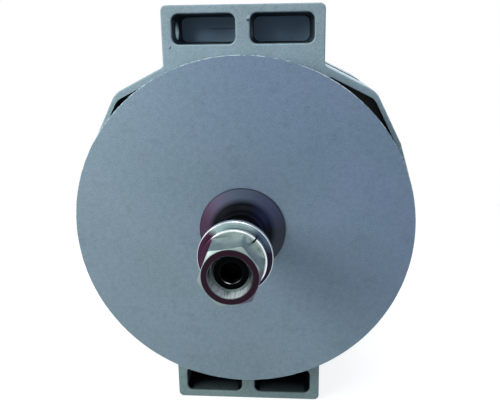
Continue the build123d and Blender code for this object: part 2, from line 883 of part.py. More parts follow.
# Lock washer: a thick ring cut through on the slant
with BuildPart() as lock_washer:
    washer_bore = thread_radius + washer_clearance
    revolve(band(washer_bore, lock_washer_radius, nut_back, washer_front), axis=Axis.Y)
    split_x, split_z = polar(1, lock_washer_split_angle)
    split_plane = Plane(origin=(0, washer_front - lock_washer_thickness / 2, 0),
                        x_dir=(0, 1, 0), z_dir=(split_x, 0, split_z))
    with BuildSketch(split_plane):
        Rectangle(3 * lock_washer_thickness, lock_washer_split_width,
                  rotation=lock_washer_split_lean)
    extrude(amount=2 * lock_washer_radius, mode=Mode.SUBTRACT)
lock_washer.part.label = "lock_washer"
export_step(lock_washer.part, "parts/lock_washer.step")

# Flat washer, against the shoulder at the end of the pulley seat
with BuildPart() as flat_washer:
    revolve(
        half_section(
            (washer_bore, washer_front),
            (flat_washer_radius - flat_washer_edge, washer_front),
            (flat_washer_radius, washer_front + flat_washer_edge),
            (flat_washer_radius, -pulley_seat_length),
            (washer_bore, -pulley_seat_length),
        ),
        axis=Axis.Y,
    )
flat_washer.part.label = "flat_washer"
export_step(flat_washer.part, "parts/flat_washer.step")

# Front ball bearing: two grooved races, caged balls and a seal on each side
ball_circle = (front_inner_land + front_outer_land) / 2
with BuildSketch(Plane.XY) as ball_groove:
    with Locations((ball_circle, front_bearing_middle)):
        Circle(ball_radius + groove_gap)
with BuildPart() as front_bearing_inner_race:
    revolve(band(front_bearing_bore, front_inner_land, front_bearing_front,
                 front_bearing_back), axis=Axis.Y)
    revolve(ball_groove.sketch, axis=Axis.Y, mode=Mode.SUBTRACT)
front_bearing_inner_race.part.label = "front_bearing_inner_race"
export_step(front_bearing_inner_race.part, "parts/front_bearing_inner_race.step")

with BuildPart() as front_bearing_outer_race:
    revolve(band(front_outer_land, front_bearing_radius, front_bearing_front,
                 front_bearing_back), axis=Axis.Y)
    revolve(ball_groove.sketch, axis=Axis.Y, mode=Mode.SUBTRACT)
front_bearing_outer_race.part.label = "front_bearing_outer_race"
export_step(front_bearing_outer_race.part, "parts/front_bearing_outer_race.step")

ball_points = [polar(ball_circle, k * 360 / ball_count) for k in range(ball_count)]
ball_centres = [(x, front_bearing_middle, z) for x, z in ball_points]
with BuildPart() as front_bearing_balls:
    with Locations(*ball_centres):
        Sphere(ball_radius)
front_bearing_balls.part.label = "front_bearing_balls"
export_step(front_bearing_balls.part, "parts/front_bearing_balls.step")

with BuildPart() as front_bearing_cage:
    revolve(band(ball_cage_inner, ball_cage_outer,
                 front_bearing_middle - ball_cage_width / 2,
                 front_bearing_middle + ball_cage_width / 2), axis=Axis.Y)
    for k in range(ball_count):
        angle = math.radians(k * 360 / ball_count)
        outward = Plane(origin=(0, front_bearing_middle, 0), x_dir=(0, 1, 0),
                        z_dir=(math.cos(angle), 0, math.sin(angle)))
        with BuildSketch(outward):
            Circle(ball_radius + pocket_gap)
        extrude(amount=ball_circle + ball_radius, mode=Mode.SUBTRACT)
front_bearing_cage.part.label = "front_bearing_cage"
export_step(front_bearing_cage.part, "parts/front_bearing_cage.step")

with BuildPart() as front_bearing_seals:
    for front in (front_bearing_front + seal_inset,
                  front_bearing_back - seal_inset - seal_thickness):
        revolve(band(front_inner_land + seal_inset, front_outer_land, front,
                     front + seal_thickness), axis=Axis.Y)
front_bearing_seals.part.label = "front_bearing_seals"
export_step(front_bearing_seals.part, "parts/front_bearing_seals.step")

# Plate and screws that keep the front bearing in its hub
with BuildPart() as bearing_retainer:
    retainer_back = front_bearing_back + retainer_thickness
    revolve(band(retainer_inner, retainer_outer, front_bearing_back, retainer_back),
            axis=Axis.Y)
    with BuildSketch(station(front_bearing_back)):
        add(ring_holes(retainer_screw_circle, retainer_screw_count,
                       retainer_screw_radius + bolt_gap, 90))
    extrude(amount=-retainer_thickness, mode=Mode.SUBTRACT)
bearing_retainer.part.label = "bearing_retainer"
export_step(bearing_retainer.part, "parts/bearing_retainer.step")

with BuildPart() as retainer_screws:
    with BuildSketch(station(retainer_back)):
        add(ring_holes(retainer_screw_circle, retainer_screw_count,
                       retainer_screw_radius, 90))
    extrude(amount=retainer_thickness + front_bearing_width / 2 - screw_tip_gap)
    with BuildSketch(station(retainer_back)):
        add(ring_holes(retainer_screw_circle, retainer_screw_count, retainer_screw_head, 90))
    extrude(amount=-screw_head_height)
retainer_screws.part.label = "retainer_screws"
export_step(retainer_screws.part, "parts/retainer_screws.step")

# Rear roller bearing: the outer race has ribs that keep the rollers in line
roller_circle = rear_inner_track + roller_radius + roller_gap
outer_track = roller_circle + roller_radius + roller_gap
track_half = roller_length / 2 + roller_gap
with BuildPart() as rear_bearing_inner_race:
    revolve(band(rear_bearing_bore, rear_inner_track, rear_bearing_front,
                 rear_bearing_back - running_gap), axis=Axis.Y)
rear_bearing_inner_race.part.label = "rear_bearing_inner_race"
export_step(rear_bearing_inner_race.part, "parts/rear_bearing_inner_race.step")

with BuildPart() as rear_bearing_outer_race:
    revolve(band(rear_rib_radius, rear_bearing_radius, rear_bearing_front,
                 rear_bearing_back), axis=Axis.Y)
    revolve(band(0, outer_track, rear_bearing_middle - track_half,
                 rear_bearing_middle + track_half), axis=Axis.Y, mode=Mode.SUBTRACT)
rear_bearing_outer_race.part.label = "rear_bearing_outer_race"
export_step(rear_bearing_outer_race.part, "parts/rear_bearing_outer_race.step")

with BuildPart() as rear_bearing_rollers:
    with BuildSketch(station(rear_bearing_middle)):
        add(ring_holes(roller_circle, roller_count, roller_radius))
    extrude(amount=roller_length / 2, both=True)
rear_bearing_rollers.part.label = "rear_bearing_rollers"
export_step(rear_bearing_rollers.part, "parts/rear_bearing_rollers.step")

with BuildPart() as rear_bearing_cage:
    revolve(band(roller_cage_inner, roller_cage_outer,
                 rear_bearing_middle - roller_cage_width / 2,
                 rear_bearing_middle + roller_cage_width / 2), axis=Axis.Y)
    with BuildSketch(station(rear_bearing_middle)):
        add(ring_holes(roller_circle, roller_count, roller_radius + pocket_gap))
    extrude(amount=roller_length / 2 + pocket_gap, both=True, mode=Mode.SUBTRACT)
rear_bearing_cage.part.label = "rear_bearing_cage"
export_step(rear_bearing_cage.part, "parts/rear_bearing_cage.step")


def diode_places():
    """Where the diodes sit in both plates, as points of a station plane."""
    return [polar(diode_circle, diode_first_angle + k * diode_step) for k in range(diode_count)]


regulator_points = [polar(rectifier_screw_circle, a) for a in regulator_post_angles]
regulator_z = regulator_points[0][1]
plate_cut_top = regulator_z + regulator_height / 2 + plate_cut_gap


def plate_face():
    """A rectifier plate: a horseshoe with its gap at the bottom for the regulator."""
    with BuildSketch(Plane.XY) as face:
        Circle(plate_outer)
        Circle(plate_inner, mode=Mode.SUBTRACT)
        with Locations((0, plate_cut_top - plate_outer / 2)):
            Rectangle(plate_cut_width, plate_outer, mode=Mode.SUBTRACT)
        with Locations(*diode_places()):
            Circle(diode_radius, mode=Mode.SUBTRACT)
        for angle in rectifier_post_angles:
            with Locations(polar(rectifier_screw_circle, angle)):
                Circle(rectifier_screw_radius + bolt_gap, mode=Mode.SUBTRACT)
    return face.sketch


# Negative plate, on the posts of the rear casting
with BuildPart() as negative_heat_sink:
    with BuildSketch(station(negative_plate_front)):
        add(plate_face())
        with Locations(polar(terminal_circle, ground_angle)):
            Circle(ground_stud_radius, mode=Mode.SUBTRACT)
    extrude(amount=-plate_thickness)
negative_heat_sink.part.label = "negative_heat_sink"
export_step(negative_heat_sink.part, "parts/negative_heat_sink.step")

# Positive plate, held off the negative one by insulating bushes
with BuildPart() as positive_heat_sink:
    with BuildSketch(station(positive_plate_front)):
        add(plate_face())
        with Locations(polar(terminal_circle, output_angle)):
            Circle(output_stud_radius, mode=Mode.SUBTRACT)
        with Locations(polar(terminal_circle, ground_angle)):
            Circle(ground_stud_radius + ground_plate_gap, mode=Mode.SUBTRACT)
    extrude(amount=-plate_thickness)
positive_heat_sink.part.label = "positive_heat_sink"
export_step(positive_heat_sink.part, "parts/positive_heat_sink.step")

# Diodes, pressed into both plates with their leads facing each other
lead_station = (negative_plate_back + positive_plate_front) / 2
lead_stop = phase_lead_radius + seat_gap
with BuildPart() as diodes:
    for face, way in ((negative_plate_back, 1), (positive_plate_front, -1)):
        flange = face + way * diode_flange_height
        base = flange - way * diode_height
        tip = lead_station - way * lead_stop
        for radius, start, end in ((diode_radius, base, face),
                                   (diode_flange, face, flange),
                                   (diode_lead_radius, flange, tip)):
            with BuildSketch(station(start)):
                with Locations(*diode_places()):
                    Circle(radius)
            extrude(amount=start - end)
diodes.part.label = "diodes"
export_step(diodes.part, "parts/diodes.step")

# Insulating bushes that hold the two plates apart, and the screws through them
rectifier_post_points = [polar(rectifier_screw_circle, a) for a in rectifier_post_angles]
with BuildPart() as rectifier_bushes:
    with BuildSketch(station(negative_plate_back)):
        with Locations(*rectifier_post_points):
            Circle(spacer_bush_radius)
            Circle(rectifier_screw_radius + bolt_gap, mode=Mode.SUBTRACT)
    extrude(amount=plate_thickness - plate_pitch)
rectifier_bushes.part.label = "rectifier_bushes"
export_step(rectifier_bushes.part, "parts/rectifier_bushes.step")


def post_screws(points, seat):
    """Screws into the rear casting's posts, with their heads on a given station."""
    tip = negative_plate_front - end_wall + screw_tip_gap
    with BuildPart() as screws:
        with BuildSketch(station(seat)):
            with Locations(*points):
                Circle(rectifier_screw_radius)
        extrude(amount=seat - tip)
        with BuildSketch(station(seat)):
            with Locations(*points):
                Circle(rectifier_screw_head)
        extrude(amount=-screw_head_height)
    return screws.part


with BuildPart() as rectifier_screws:
    add(post_screws(rectifier_post_points, positive_plate_back))
rectifier_screws.part.label = "rectifier_screws"
export_step(rectifier_screws.part, "parts/rectifier_screws.step")

# Phase leads, from the winding through the rear wall's windows to the diodes
end_turns_back = stack_back + end_turn_length
with BuildPart() as phase_leads:
    for angle in phase_lead_angles:
        winding_x, winding_z = polar(phase_lead_circle, angle)
        diode_x, diode_z = polar(diode_circle - phase_lead_radius, angle)
        with BuildLine():
            FilletPolyline((winding_x, end_turns_back, winding_z),
                           (winding_x, lead_station, winding_z),
                           (diode_x, lead_station, diode_z), radius=phase_lead_bend)
        with BuildSketch(station(end_turns_back)):
            with Locations((winding_x, winding_z)):
                Circle(phase_lead_radius)
        sweep()
phase_leads.part.label = "phase_leads"
export_step(phase_leads.part, "parts/phase_leads.step")

# Voltage regulator: a finned block on two ears, in the gap of the plates
regulator_width = 2 * (regulator_points[1][0] - regulator_screw_gap)
regulator_ear_width = regulator_width + 2 * regulator_ear_reach
regulator_fin_pitch = regulator_width / (regulator_fin_count + 1)
regulator_back = negative_plate_front + regulator_depth
with BuildPart() as voltage_regulator:
    with BuildSketch(station(negative_plate_front)):
        with Locations((0, regulator_z)):
            SlotOverall(regulator_ear_width, regulator_ear_height)
    extrude(amount=-regulator_ear_thickness)
    with BuildSketch(station(negative_plate_front)):
        with Locations((0, regulator_z)):
            RectangleRounded(regulator_width, regulator_height, regulator_corner)
    extrude(amount=-regulator_depth)
    with BuildSketch(station(regulator_back)):
        with Locations((0, regulator_z)):
            with GridLocations(regulator_fin_pitch, 0, regulator_fin_count, 1):
                Rectangle(regulator_fin, regulator_height - 2 * regulator_corner)
    extrude(amount=-regulator_fin_height)
    with BuildSketch(station(negative_plate_front)):
        with Locations(*regulator_points):
            Circle(rectifier_screw_radius + bolt_gap)
    extrude(amount=-regulator_ear_thickness, mode=Mode.SUBTRACT)
voltage_regulator.part.label = "voltage_regulator"
export_step(voltage_regulator.part, "parts/voltage_regulator.step")

with BuildPart() as regulator_screws:
    add(post_screws(regulator_points, negative_plate_front + regulator_ear_thickness))
regulator_screws.part.label = "regulator_screws"
export_step(regulator_screws.part, "parts/regulator_screws.step")

# Rear cover: a thin cup with ears, a ring of inlet slots and a slotted wall each side
output_place = polar(terminal_circle, output_angle)
ground_place = polar(terminal_circle, ground_angle)
relay_place = polar(terminal_circle, relay_angle)
with BuildPart() as rear_cover:
    inside_radius = cover_radius - cover_wall
    inside_back = cover_back - cover_wall
    with BuildSketch(Plane.XY) as cup:
        with BuildLine():
            Polyline((inside_radius, rear_face), (cover_radius, rear_face),
                     (cover_radius, cover_back), (0, cover_back), (0, inside_back),
                     (inside_radius, inside_back), close=True)
        make_face()
        outer_corner = cup.vertices().sort_by_distance((cover_radius, cover_back, 0))[0]
        fillet(outer_corner, cover_corner)
        inner_corner = cup.vertices().sort_by_distance((inside_radius, inside_back, 0))[0]
        fillet(inner_corner, cover_corner - cover_wall)
    revolve(axis=Axis.Y)
    with BuildSketch(station(rear_face)) as ears:
        with PolarLocations(ear_circle, 4):
            Circle(ear_radius)
        with PolarLocations(ear_circle - ear_radius, 4):
            Rectangle(2 * ear_radius, 2 * ear_radius)
        Circle(inside_radius, mode=Mode.SUBTRACT)
    extrude(amount=-ear_thickness)
    with BuildSketch(station(rear_face)):
        add(ring_holes(ear_circle, 4, cover_screw_radius + bolt_gap))
    extrude(amount=-ear_thickness, mode=Mode.SUBTRACT)
    with BuildSketch(station(cover_back)):
        Circle(cover_boss_radius)
    extrude(amount=-cover_boss_height, taper=cover_boss_taper)
    with BuildSketch(station(cover_back)):
        cover_slot_middle = (cover_slot_inner + cover_slot_outer) / 2
        sweep_range = cover_slot_step * (cover_slot_count - 1)
        with PolarLocations(cover_slot_middle, cover_slot_count, start_angle=cover_slot_first,
                            angular_range=sweep_range, endpoint=True):
            SlotOverall(cover_slot_outer - cover_slot_inner, cover_slot_width)
    extrude(amount=cover_wall * 2, mode=Mode.SUBTRACT)
    with BuildSketch(Plane.YZ):
        with Locations(((rear_face + cover_back) / 2, 0)):
            with GridLocations(0, cover_side_slot_pitch, 1, cover_side_slot_count):
                SlotOverall(cover_side_slot_length, cover_side_slot_height)
    extrude(amount=lug_reach, both=True, mode=Mode.SUBTRACT)
    with BuildSketch(station(cover_back)):
        with Locations(output_place):
            Circle(output_bush_neck + seat_gap)
        with Locations(ground_place):
            Circle(ground_stud_radius + bolt_gap)
        with Locations(relay_place):
            Circle(relay_bush_neck + seat_gap)
    extrude(amount=cover_wall * 2, mode=Mode.SUBTRACT)
rear_cover.part.label = "rear_cover"
export_step(rear_cover.part, "parts/rear_cover.step")

with BuildPart() as cover_screws:
    head_seat = rear_face + ear_thickness
    with BuildSketch(station(head_seat)):
        add(ring_holes(ear_circle, 4, cover_screw_radius))
    extrude(amount=ear_thickness + cover_screw_grip - screw_tip_gap)
    with BuildSketch(station(head_seat)):
        add(ring_holes(ear_circle, 4, cover_screw_head))
    extrude(amount=-screw_head_height)
cover_screws.part.label = "cover_screws"
export_step(cover_screws.part, "parts/cover_screws.step")


def stud(place, radius, head_radius, head_back, end):
    """A terminal stud: a head, a shank relieved up to its nut's back, and a free thread."""
    with BuildPart() as terminal:
        with BuildSketch(station(head_back)):
            with Locations(place):
                Circle(head_radius)
        extrude(amount=stud_head_height)
        with BuildSketch(station(head_back)):
            with Locations(place):
                Circle(radius - stud_relief)
        extrude(amount=head_back - end + stud_stand)
        with BuildSketch(station(end - stud_stand)):
            with Locations(place):
                Circle(radius)
        extrude(amount=-stud_stand)
        chamfer(terminal.faces().sort_by(Axis.Y)[-1].edges(), stud_tip_chamfer)
    return terminal.part


def bush(place, neck_radius, collar_radius, bore, neck_front):
    """An insulating bush: a neck inside the cover and a collar outside it."""
    with BuildPart() as insulator:
        with BuildSketch(station(neck_front)):
            with Locations(place):
                Circle(neck_radius)
        extrude(amount=neck_front - cover_back)
        with BuildSketch(station(cover_back)):
            with Locations(place):
                Circle(collar_radius)
        extrude(amount=-bush_collar)
        with BuildSketch(station(neck_front)):
            with Locations(place):
                Circle(bore)
        extrude(amount=neck_front - cover_back - bush_collar, mode=Mode.SUBTRACT)
    return insulator.part


def terminal_ring(place, radius, bore, front, thickness):
    """A washer on a terminal stud."""
    with BuildPart() as washer:
        with BuildSketch(station(front)):
            with Locations(place):
                Circle(radius)
                Circle(bore, mode=Mode.SUBTRACT)
        extrude(amount=-thickness)
    return washer.part


def terminal_hex(place, flats, stud_radius, front, height):
    """A hex nut on a terminal stud."""
    with BuildPart() as nut:
        with BuildSketch(station(front)):
            with Locations(place):
                RegularPolygon(flats / 2, 6, major_radius=False)
                Circle(stud_radius - stud_relief + seat_gap, mode=Mode.SUBTRACT)
        extrude(amount=-height)
    return nut.part


# Output terminal: a stud on the positive plate, insulated from the cover
collar_back = cover_back + bush_collar
output_nut_front = collar_back + terminal_washer
output_end = output_nut_front + output_nut_height + stud_stand
output_bore = output_stud_radius + seat_gap
with BuildPart() as output_stud:
    add(stud(output_place, output_stud_radius, output_head_radius, positive_plate_front,
             output_end))
output_stud.part.label = "output_stud"
export_step(output_stud.part, "parts/output_stud.step")

with BuildPart() as output_bush:
    add(bush(output_place, output_bush_neck, output_bush_radius, output_bore,
             positive_plate_back))
output_bush.part.label = "output_bush"
export_step(output_bush.part, "parts/output_bush.step")

with BuildPart() as output_washer:
    add(terminal_ring(output_place, output_washer_radius, output_bore, collar_back,
                      terminal_washer))
output_washer.part.label = "output_washer"
export_step(output_washer.part, "parts/output_washer.step")

with BuildPart() as output_nut:
    add(terminal_hex(output_place, output_nut_flats, output_stud_radius, output_nut_front,
                     output_nut_height))
output_nut.part.label = "output_nut"
export_step(output_nut.part, "parts/output_nut.step")

# Ground terminal: a stud on the negative plate, with its washer on the bare cover
ground_nut_front = cover_back + terminal_washer
ground_end = ground_nut_front + ground_nut_height + stud_stand
ground_bore = ground_stud_radius + seat_gap
with BuildPart() as ground_stud:
    add(stud(ground_place, ground_stud_radius, ground_head_radius, negative_plate_front,
             ground_end))
ground_stud.part.label = "ground_stud"
export_step(ground_stud.part, "parts/ground_stud.step")

with BuildPart() as ground_washer:
    add(terminal_ring(ground_place, ground_washer_radius, ground_bore, cover_back,
                      terminal_washer))
ground_washer.part.label = "ground_washer"
export_step(ground_washer.part, "parts/ground_washer.step")

with BuildPart() as ground_nut:
    add(terminal_hex(ground_place, ground_nut_flats, ground_stud_radius, ground_nut_front,
                     ground_nut_height))
ground_nut.part.label = "ground_nut"
export_step(ground_nut.part, "parts/ground_nut.step")

# Relay terminal: a small stud whose head sits inside its own insulating bush
relay_bore = relay_stud_radius + seat_gap
relay_end = collar_back + relay_nut_height + stud_stand
with BuildPart() as relay_bush:
    add(bush(relay_place, relay_bush_neck, relay_bush_radius, relay_bore,
             positive_plate_back))
relay_bush.part.label = "relay_bush"
export_step(relay_bush.part, "parts/relay_bush.step")

with BuildPart() as relay_stud:
    with BuildSketch(station(positive_plate_back + seat_gap)):
        with Locations(relay_place):
            Circle(relay_stud_radius - stud_relief)
    extrude(amount=positive_plate_back + seat_gap - relay_end + stud_stand)
    with BuildSketch(station(relay_end - stud_stand)):
        with Locations(relay_place):
            Circle(relay_stud_radius)
    extrude(amount=-stud_stand)
    chamfer(relay_stud.faces().sort_by(Axis.Y)[-1].edges(), stud_tip_chamfer)
relay_stud.part.label = "relay_stud"
export_step(relay_stud.part, "parts/relay_stud.step")

with BuildPart() as relay_nut:
    add(terminal_hex(relay_place, relay_nut_flats, relay_stud_radius, collar_back,
                     relay_nut_height))
relay_nut.part.label = "relay_nut"
export_step(relay_nut.part, "parts/relay_nut.step")
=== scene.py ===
"""Dresses the packed alternator: finishes on every piece, and finer meshes where it shows.

The frame is in metres. The shaft lies along Y with the drive end towards -Y, and +Z is
up. Angles round the shaft are measured from +X towards +Z.
"""
import math
from functools import cached_property

import bmesh
import bpy
import numpy as np
from bpy.props import FloatProperty, FloatVectorProperty, IntProperty, PointerProperty
from mathutils import Matrix, Vector


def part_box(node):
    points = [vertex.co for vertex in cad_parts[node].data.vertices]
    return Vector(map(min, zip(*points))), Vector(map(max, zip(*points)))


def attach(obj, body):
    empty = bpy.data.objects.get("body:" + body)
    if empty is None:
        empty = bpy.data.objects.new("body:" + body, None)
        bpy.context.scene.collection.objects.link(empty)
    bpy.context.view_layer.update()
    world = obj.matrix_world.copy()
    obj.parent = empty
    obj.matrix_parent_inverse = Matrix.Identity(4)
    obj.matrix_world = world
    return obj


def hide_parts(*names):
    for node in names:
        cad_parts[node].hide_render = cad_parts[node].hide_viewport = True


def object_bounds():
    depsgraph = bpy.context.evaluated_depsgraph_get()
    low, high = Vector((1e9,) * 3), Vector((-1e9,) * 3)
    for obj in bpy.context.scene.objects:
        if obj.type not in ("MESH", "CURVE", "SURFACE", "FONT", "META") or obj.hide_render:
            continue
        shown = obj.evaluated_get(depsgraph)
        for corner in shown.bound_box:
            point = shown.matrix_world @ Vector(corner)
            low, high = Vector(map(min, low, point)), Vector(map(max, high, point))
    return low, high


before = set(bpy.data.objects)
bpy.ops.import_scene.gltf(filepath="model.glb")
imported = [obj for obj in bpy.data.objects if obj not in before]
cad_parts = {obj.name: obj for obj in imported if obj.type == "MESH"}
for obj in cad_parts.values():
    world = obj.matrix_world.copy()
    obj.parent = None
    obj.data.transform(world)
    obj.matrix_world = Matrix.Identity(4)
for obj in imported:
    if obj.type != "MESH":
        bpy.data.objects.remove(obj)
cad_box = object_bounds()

bl_info = {
    "name": "Alternator dressing",
    "version": (1, 0, 0),
    "blender": (4, 5, 0),
    "location": "View3D > Sidebar > Alternator",
    "description": "Finishes and fine meshes for a heavy-duty alternator",
    "category": "Object",
}

COPIES_TREE = "copies"
FULL_TURN = 2 * math.pi
MM = 0.001
SHARP_ANGLE = math.radians(32)

# The castings' wing pockets, in millimetres: middle, half size and depth.
POCKET_X, POCKET_Z = 21.6, 108.2
POCKET_HALF_X, POCKET_HALF_Z = 17.6, 8.2
POCKET_DEPTH = 33.0

BLACK = (0.0, 0.0, 0.0)
WHITE = (1.0, 1.0, 1.0)


def srgb(red, green, blue):
    """A colour given in everyday 0 to 255 values, as Blender's linear colour."""
    def linear(value):
        share = value / 255
        return share / 12.92 if share <= 0.04045 else ((share + 0.055) / 1.055) ** 2.4
    return (linear(red), linear(green), linear(blue))


def shaded(colour, factor):
    """A colour made darker or lighter, up to white."""
    return tuple(min(1.0, factor * value) for value in colour)


def length(label, about, millimetres):
    """A length property, given in millimetres."""
    return FloatProperty(name=label, description=about, default=millimetres * MM,
                         min=0.0, soft_max=0.5, precision=5, unit="LENGTH")


def tint(label, about, *everyday):
    """A colour property, given in everyday 0 to 255 values."""
    return FloatVectorProperty(name=label, description=about, default=srgb(*everyday),
                               size=3, min=0.0, max=1.0, subtype="COLOR")


def turn(label, about, degrees):
    """An angle property, given in degrees."""
    return FloatProperty(name=label, description=about, default=math.radians(degrees),
                         subtype="ANGLE")


def low(node):
    """The lowest corner of a CAD node."""
    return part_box(node)[0]


def high(node):
    """The highest corner of a CAD node."""
    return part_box(node)[1]


def ends(node):
    """The front and back ends of a CAD node, as stations on the shaft."""
    return low(node).y, high(node).y


def cad_mesh(node):
    """The mesh of a CAD node."""
    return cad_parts[node].data


class CastingLook(bpy.types.PropertyGroup):
    """Colours of the two castings."""

    tone: tint("Tone", "Blasted cast aluminium", 132, 158, 171)
    shade: tint("Shade", "Duller patches of the casting", 118, 144, 155)
    grain: length("Grain", "Size of the grain that blasting leaves", 0.55)
    draft: length("Draft", "How far a pocket's wall leans in by its floor", 2.2)
    # Painted shade: darkens the walls of the wing pockets, the lower ones most.
    pocket_shade: tint("Grime", "Oil-dark grime in the pockets", 10, 12, 22)
    # Painted light: lightens the back walls of the upper pockets, which get little light.
    clean: tint("Clean", "Clean floors of the upper pockets", 170, 202, 230)
    # Painted shade: near-black on the bells' inner walls and on the wall behind the fan.
    inside: tint("Inside", "Oil-dark inner walls of the bells", 16, 19, 26)
    # Painted shade: darkens the lower wing and tints it green, as less light reaches it.
    lower_wing_shade: tint("Underside", "Green cast over the lower wing", 232, 236, 226)


class FanLook(bpy.types.PropertyGroup):
    """Sizes and colours of the fan."""

    thickness: length("Thickness", "Thickness of the disc", 3.0)
    hub: length("Hub", "Radius of the hub behind the disc", 23.0)
    rim_round: length("Rim round", "Round on the edges of the disc", 0.45)
    blades: IntProperty(name="Blades", description="How many blades", default=14, min=2)
    blade_inner: length("Blade inner", "Radius where a blade starts", 48.0)
    blade_outer: length("Blade outer", "Radius where a blade ends", 92.0)
    blade_bow: length("Blade bow", "How far a blade bows outwards", 4.0)
    blade_thickness: length("Blade thickness", "Thickness of a blade", 2.6)
    blade_round: length("Blade round", "Round on the edges of a blade", 0.5)
    blade_sweep: turn("Blade sweep", "How far round a blade sweeps", 24.0)
    tone: tint("Tone", "Blasted face of the disc", 104, 129, 147)
    patch: tint("Patch", "Greener patches of the face", 97, 126, 139)
    # Painted shade: darkens the disc's face towards its upper right and shifts it to blue.
    upper_right_shade: tint("Cool", "Cast over the upper right of the face", 230, 235, 255)
    # Partly bare metal from wear, partly painted highlight where the rim's round catches light.
    edge: tint("Edge", "Bare metal on the rim", 188, 206, 214)


class ShaftLook(bpy.types.PropertyGroup):
    """Sizes and colours of the shaft's bare end and its collar."""

    spigot: length("Spigot", "Radius of the shaft under the collar and the fan", 11.2)
    seat: length("Seat", "Radius of the pulley's seat", 11.0)
    thread_radius: length("Thread radius", "Outer radius of the shaft's thread", 10.0)
    thread_pitch: length("Thread pitch", "Pitch of the shaft's fine thread", 1.5)
    thread_depth: length("Thread depth", "Depth of the shaft's thread", 0.85)
    chamfer: length("Chamfer", "Chamfer on the shaft's front end", 1.7)
    relief: length("Relief", "Length of the groove behind the thread", 2.0)
    socket: length("Socket", "Across the flats of the hex socket", 8.0)
    nose: length("Nose", "Radius of the collar's nose", 12.7)
    cone_foot: length("Cone foot", "Radius where the collar's cone starts", 15.2)
    tone: tint("Tone", "Oil-dark steel of the shaft", 12, 13, 15)
    # Partly bare steel, partly painted light: the thread made light like the lit lower bore wall.
    bare_thread_and_light: tint("Thread tone", "Bare steel of the shaft's thread", 158, 174, 170)
    collar_tone: tint("Collar tone", "Dark turned steel of the collar", 64, 75, 95)
    # Painted reflection: warm plum over the collar's left side.
    collar_left_reflection: tint("Collar warm", "Warm tint on one side of the collar", 62, 40, 66)
    # Painted reflection: blue over the collar's upper right.
    collar_right_reflection: tint("Collar navy", "Blue tint over the right of the collar", 42, 46, 84)
    # Painted shade and dark reflection: near-black on the lower right, at the cone and round the
    # flange.
    collar_shade: tint("Collar deep", "Near-black steel at the foot of the cone", 6, 9, 15)


class NutLook(bpy.types.PropertyGroup):
    """Sizes and colours of the nut and the washers."""

    flats: length("Flats", "Across the flats of the pulley nut", 27.0)
    corner_land: length("Corner land", "How much the nut's corners are rounded off", 0.25)
    face_edge: length("Face edge", "Radius of the nut's face, inside its chamfer", 13.2)
    mouth: length("Mouth", "Radius of the nut's mouth", 10.35)
    bore: length("Bore", "Radius of the nut's bore", 10.05)
    nut_turn: turn("Nut turn", "How far round the shaft the nut stands", -21.5)
    washer_bore: length("Washer bore", "Radius of both washers' bores", 10.4)
    lock_outer: length("Lock outer", "Outer radius of the lock washer", 16.0)
    split: turn("Split", "Where the lock washer's split stands", 47.0)
    split_width: length("Split width", "Width of the lock washer's split", 0.9)
    split_lean: turn("Split lean", "How far the split leans from the shaft", 3.0)
    zinc: tint("Zinc", "Bright zinc plate", 178, 192, 188)
    zinc_dull: tint("Zinc dull", "Duller zinc plate", 138, 158, 156)
    # Painted dark reflection: plum-black on the nut's face, where it mirrors its dark
    # surroundings.
    face: tint("Face", "Dark plum face of the nut", 36, 16, 31)
    shadow: tint("Shadow", "Slate side of the nut's chamfer", 84, 78, 98)
    # Painted highlight: a bright line on the washer's edge, and the lit streaks in the nut's
    # bore.
    washer_highlight: tint("Washer edge", "Bright turned edge of the washer", 214, 220, 226)
    washer_bright: tint("Washer bright", "Wedge of the washer that catches light",
                        178, 200, 204)
    # Painted reflection: slate over the upper half of the washer's face.
    washer_right_reflection: tint("Washer slate", "Right side of the washer's face", 78, 94, 116)
    # Painted reflection: plum on the left of both washers.
    washer_left_reflection: tint("Washer plum", "Left side of both washers", 66, 36, 58)
    # Painted reflection: dark over the lower half of the washer's face.
    washer_dark_reflection: tint("Washer dark", "The rest of the washer's turned face", 30, 24, 42)
    # Painted shadow: a dark line round the lock washer, behind its bright rim.
    washer_shadow_line: tint("Washer line", "Dark line round the lock washer", 34, 56, 70)


class StageLook(bpy.types.PropertyGroup):
    """Camera and floor."""

    yaw: turn("Yaw", "How far round to +X the camera stands", 4.354)
    pitch: turn("Pitch", "How far above the shaft the camera stands", 15.413)
    roll: turn("Roll", "How far the camera leans", -0.802)
    distance: length("Distance", "From the camera to its target", 330.3)
    target_x: length("Target x", "Target, beside the shaft", 4.37)
    target_z: length("Target z", "Target, above the shaft", 17.2)
    lens: FloatProperty(name="Lens", description="Focal length on a 36 mm sensor",
                        default=43.2, min=1.0, soft_max=200.0, unit="CAMERA")
    floor_tone: tint("Floor", "Pale floor", 176, 180, 182)


LOOKS = {"casting_look": CastingLook, "fan_look": FanLook, "shaft_look": ShaftLook,
         "nut_look": NutLook, "stage_look": StageLook}


class Nodes:
    """A node tree in the making, with short calls for its nodes."""

    def __init__(self, tree):
        self.tree = tree

    def put(self, socket, value):
        """Links a socket, or sets it where the value is a number, a vector or a colour."""
        if isinstance(value, bpy.types.NodeSocket):
            self.tree.links.new(value, socket)
        elif isinstance(value, (int, float)):
            socket.default_value = value
        elif len(socket.default_value) == 4 and len(value) == 3:
            socket.default_value = (*value, 1.0)
        else:
            socket.default_value = value

    def node(self, kind, inputs=(), **settings):
        """Adds a node with its settings, and its inputs by name or number."""
        made = self.tree.nodes.new(kind)
        for name, value in settings.items():
            setattr(made, name, value)
        for key, value in dict(inputs).items():
            self.put(made.inputs[key], value)
        return made

    def maths(self, operation, *values):
        """One step of arithmetic."""
        return self.node("ShaderNodeMath", enumerate(values), operation=operation).outputs[0]

    def seen_white(self):
        """A share that is one for rays from the camera, in gloss and through glass."""
        rays = self.node("ShaderNodeLightPath").outputs
        share = self.maths("MAXIMUM", rays["Is Camera Ray"], rays["Is Glossy Ray"])
        return self.maths("MAXIMUM", share, rays["Is Transmission Ray"])


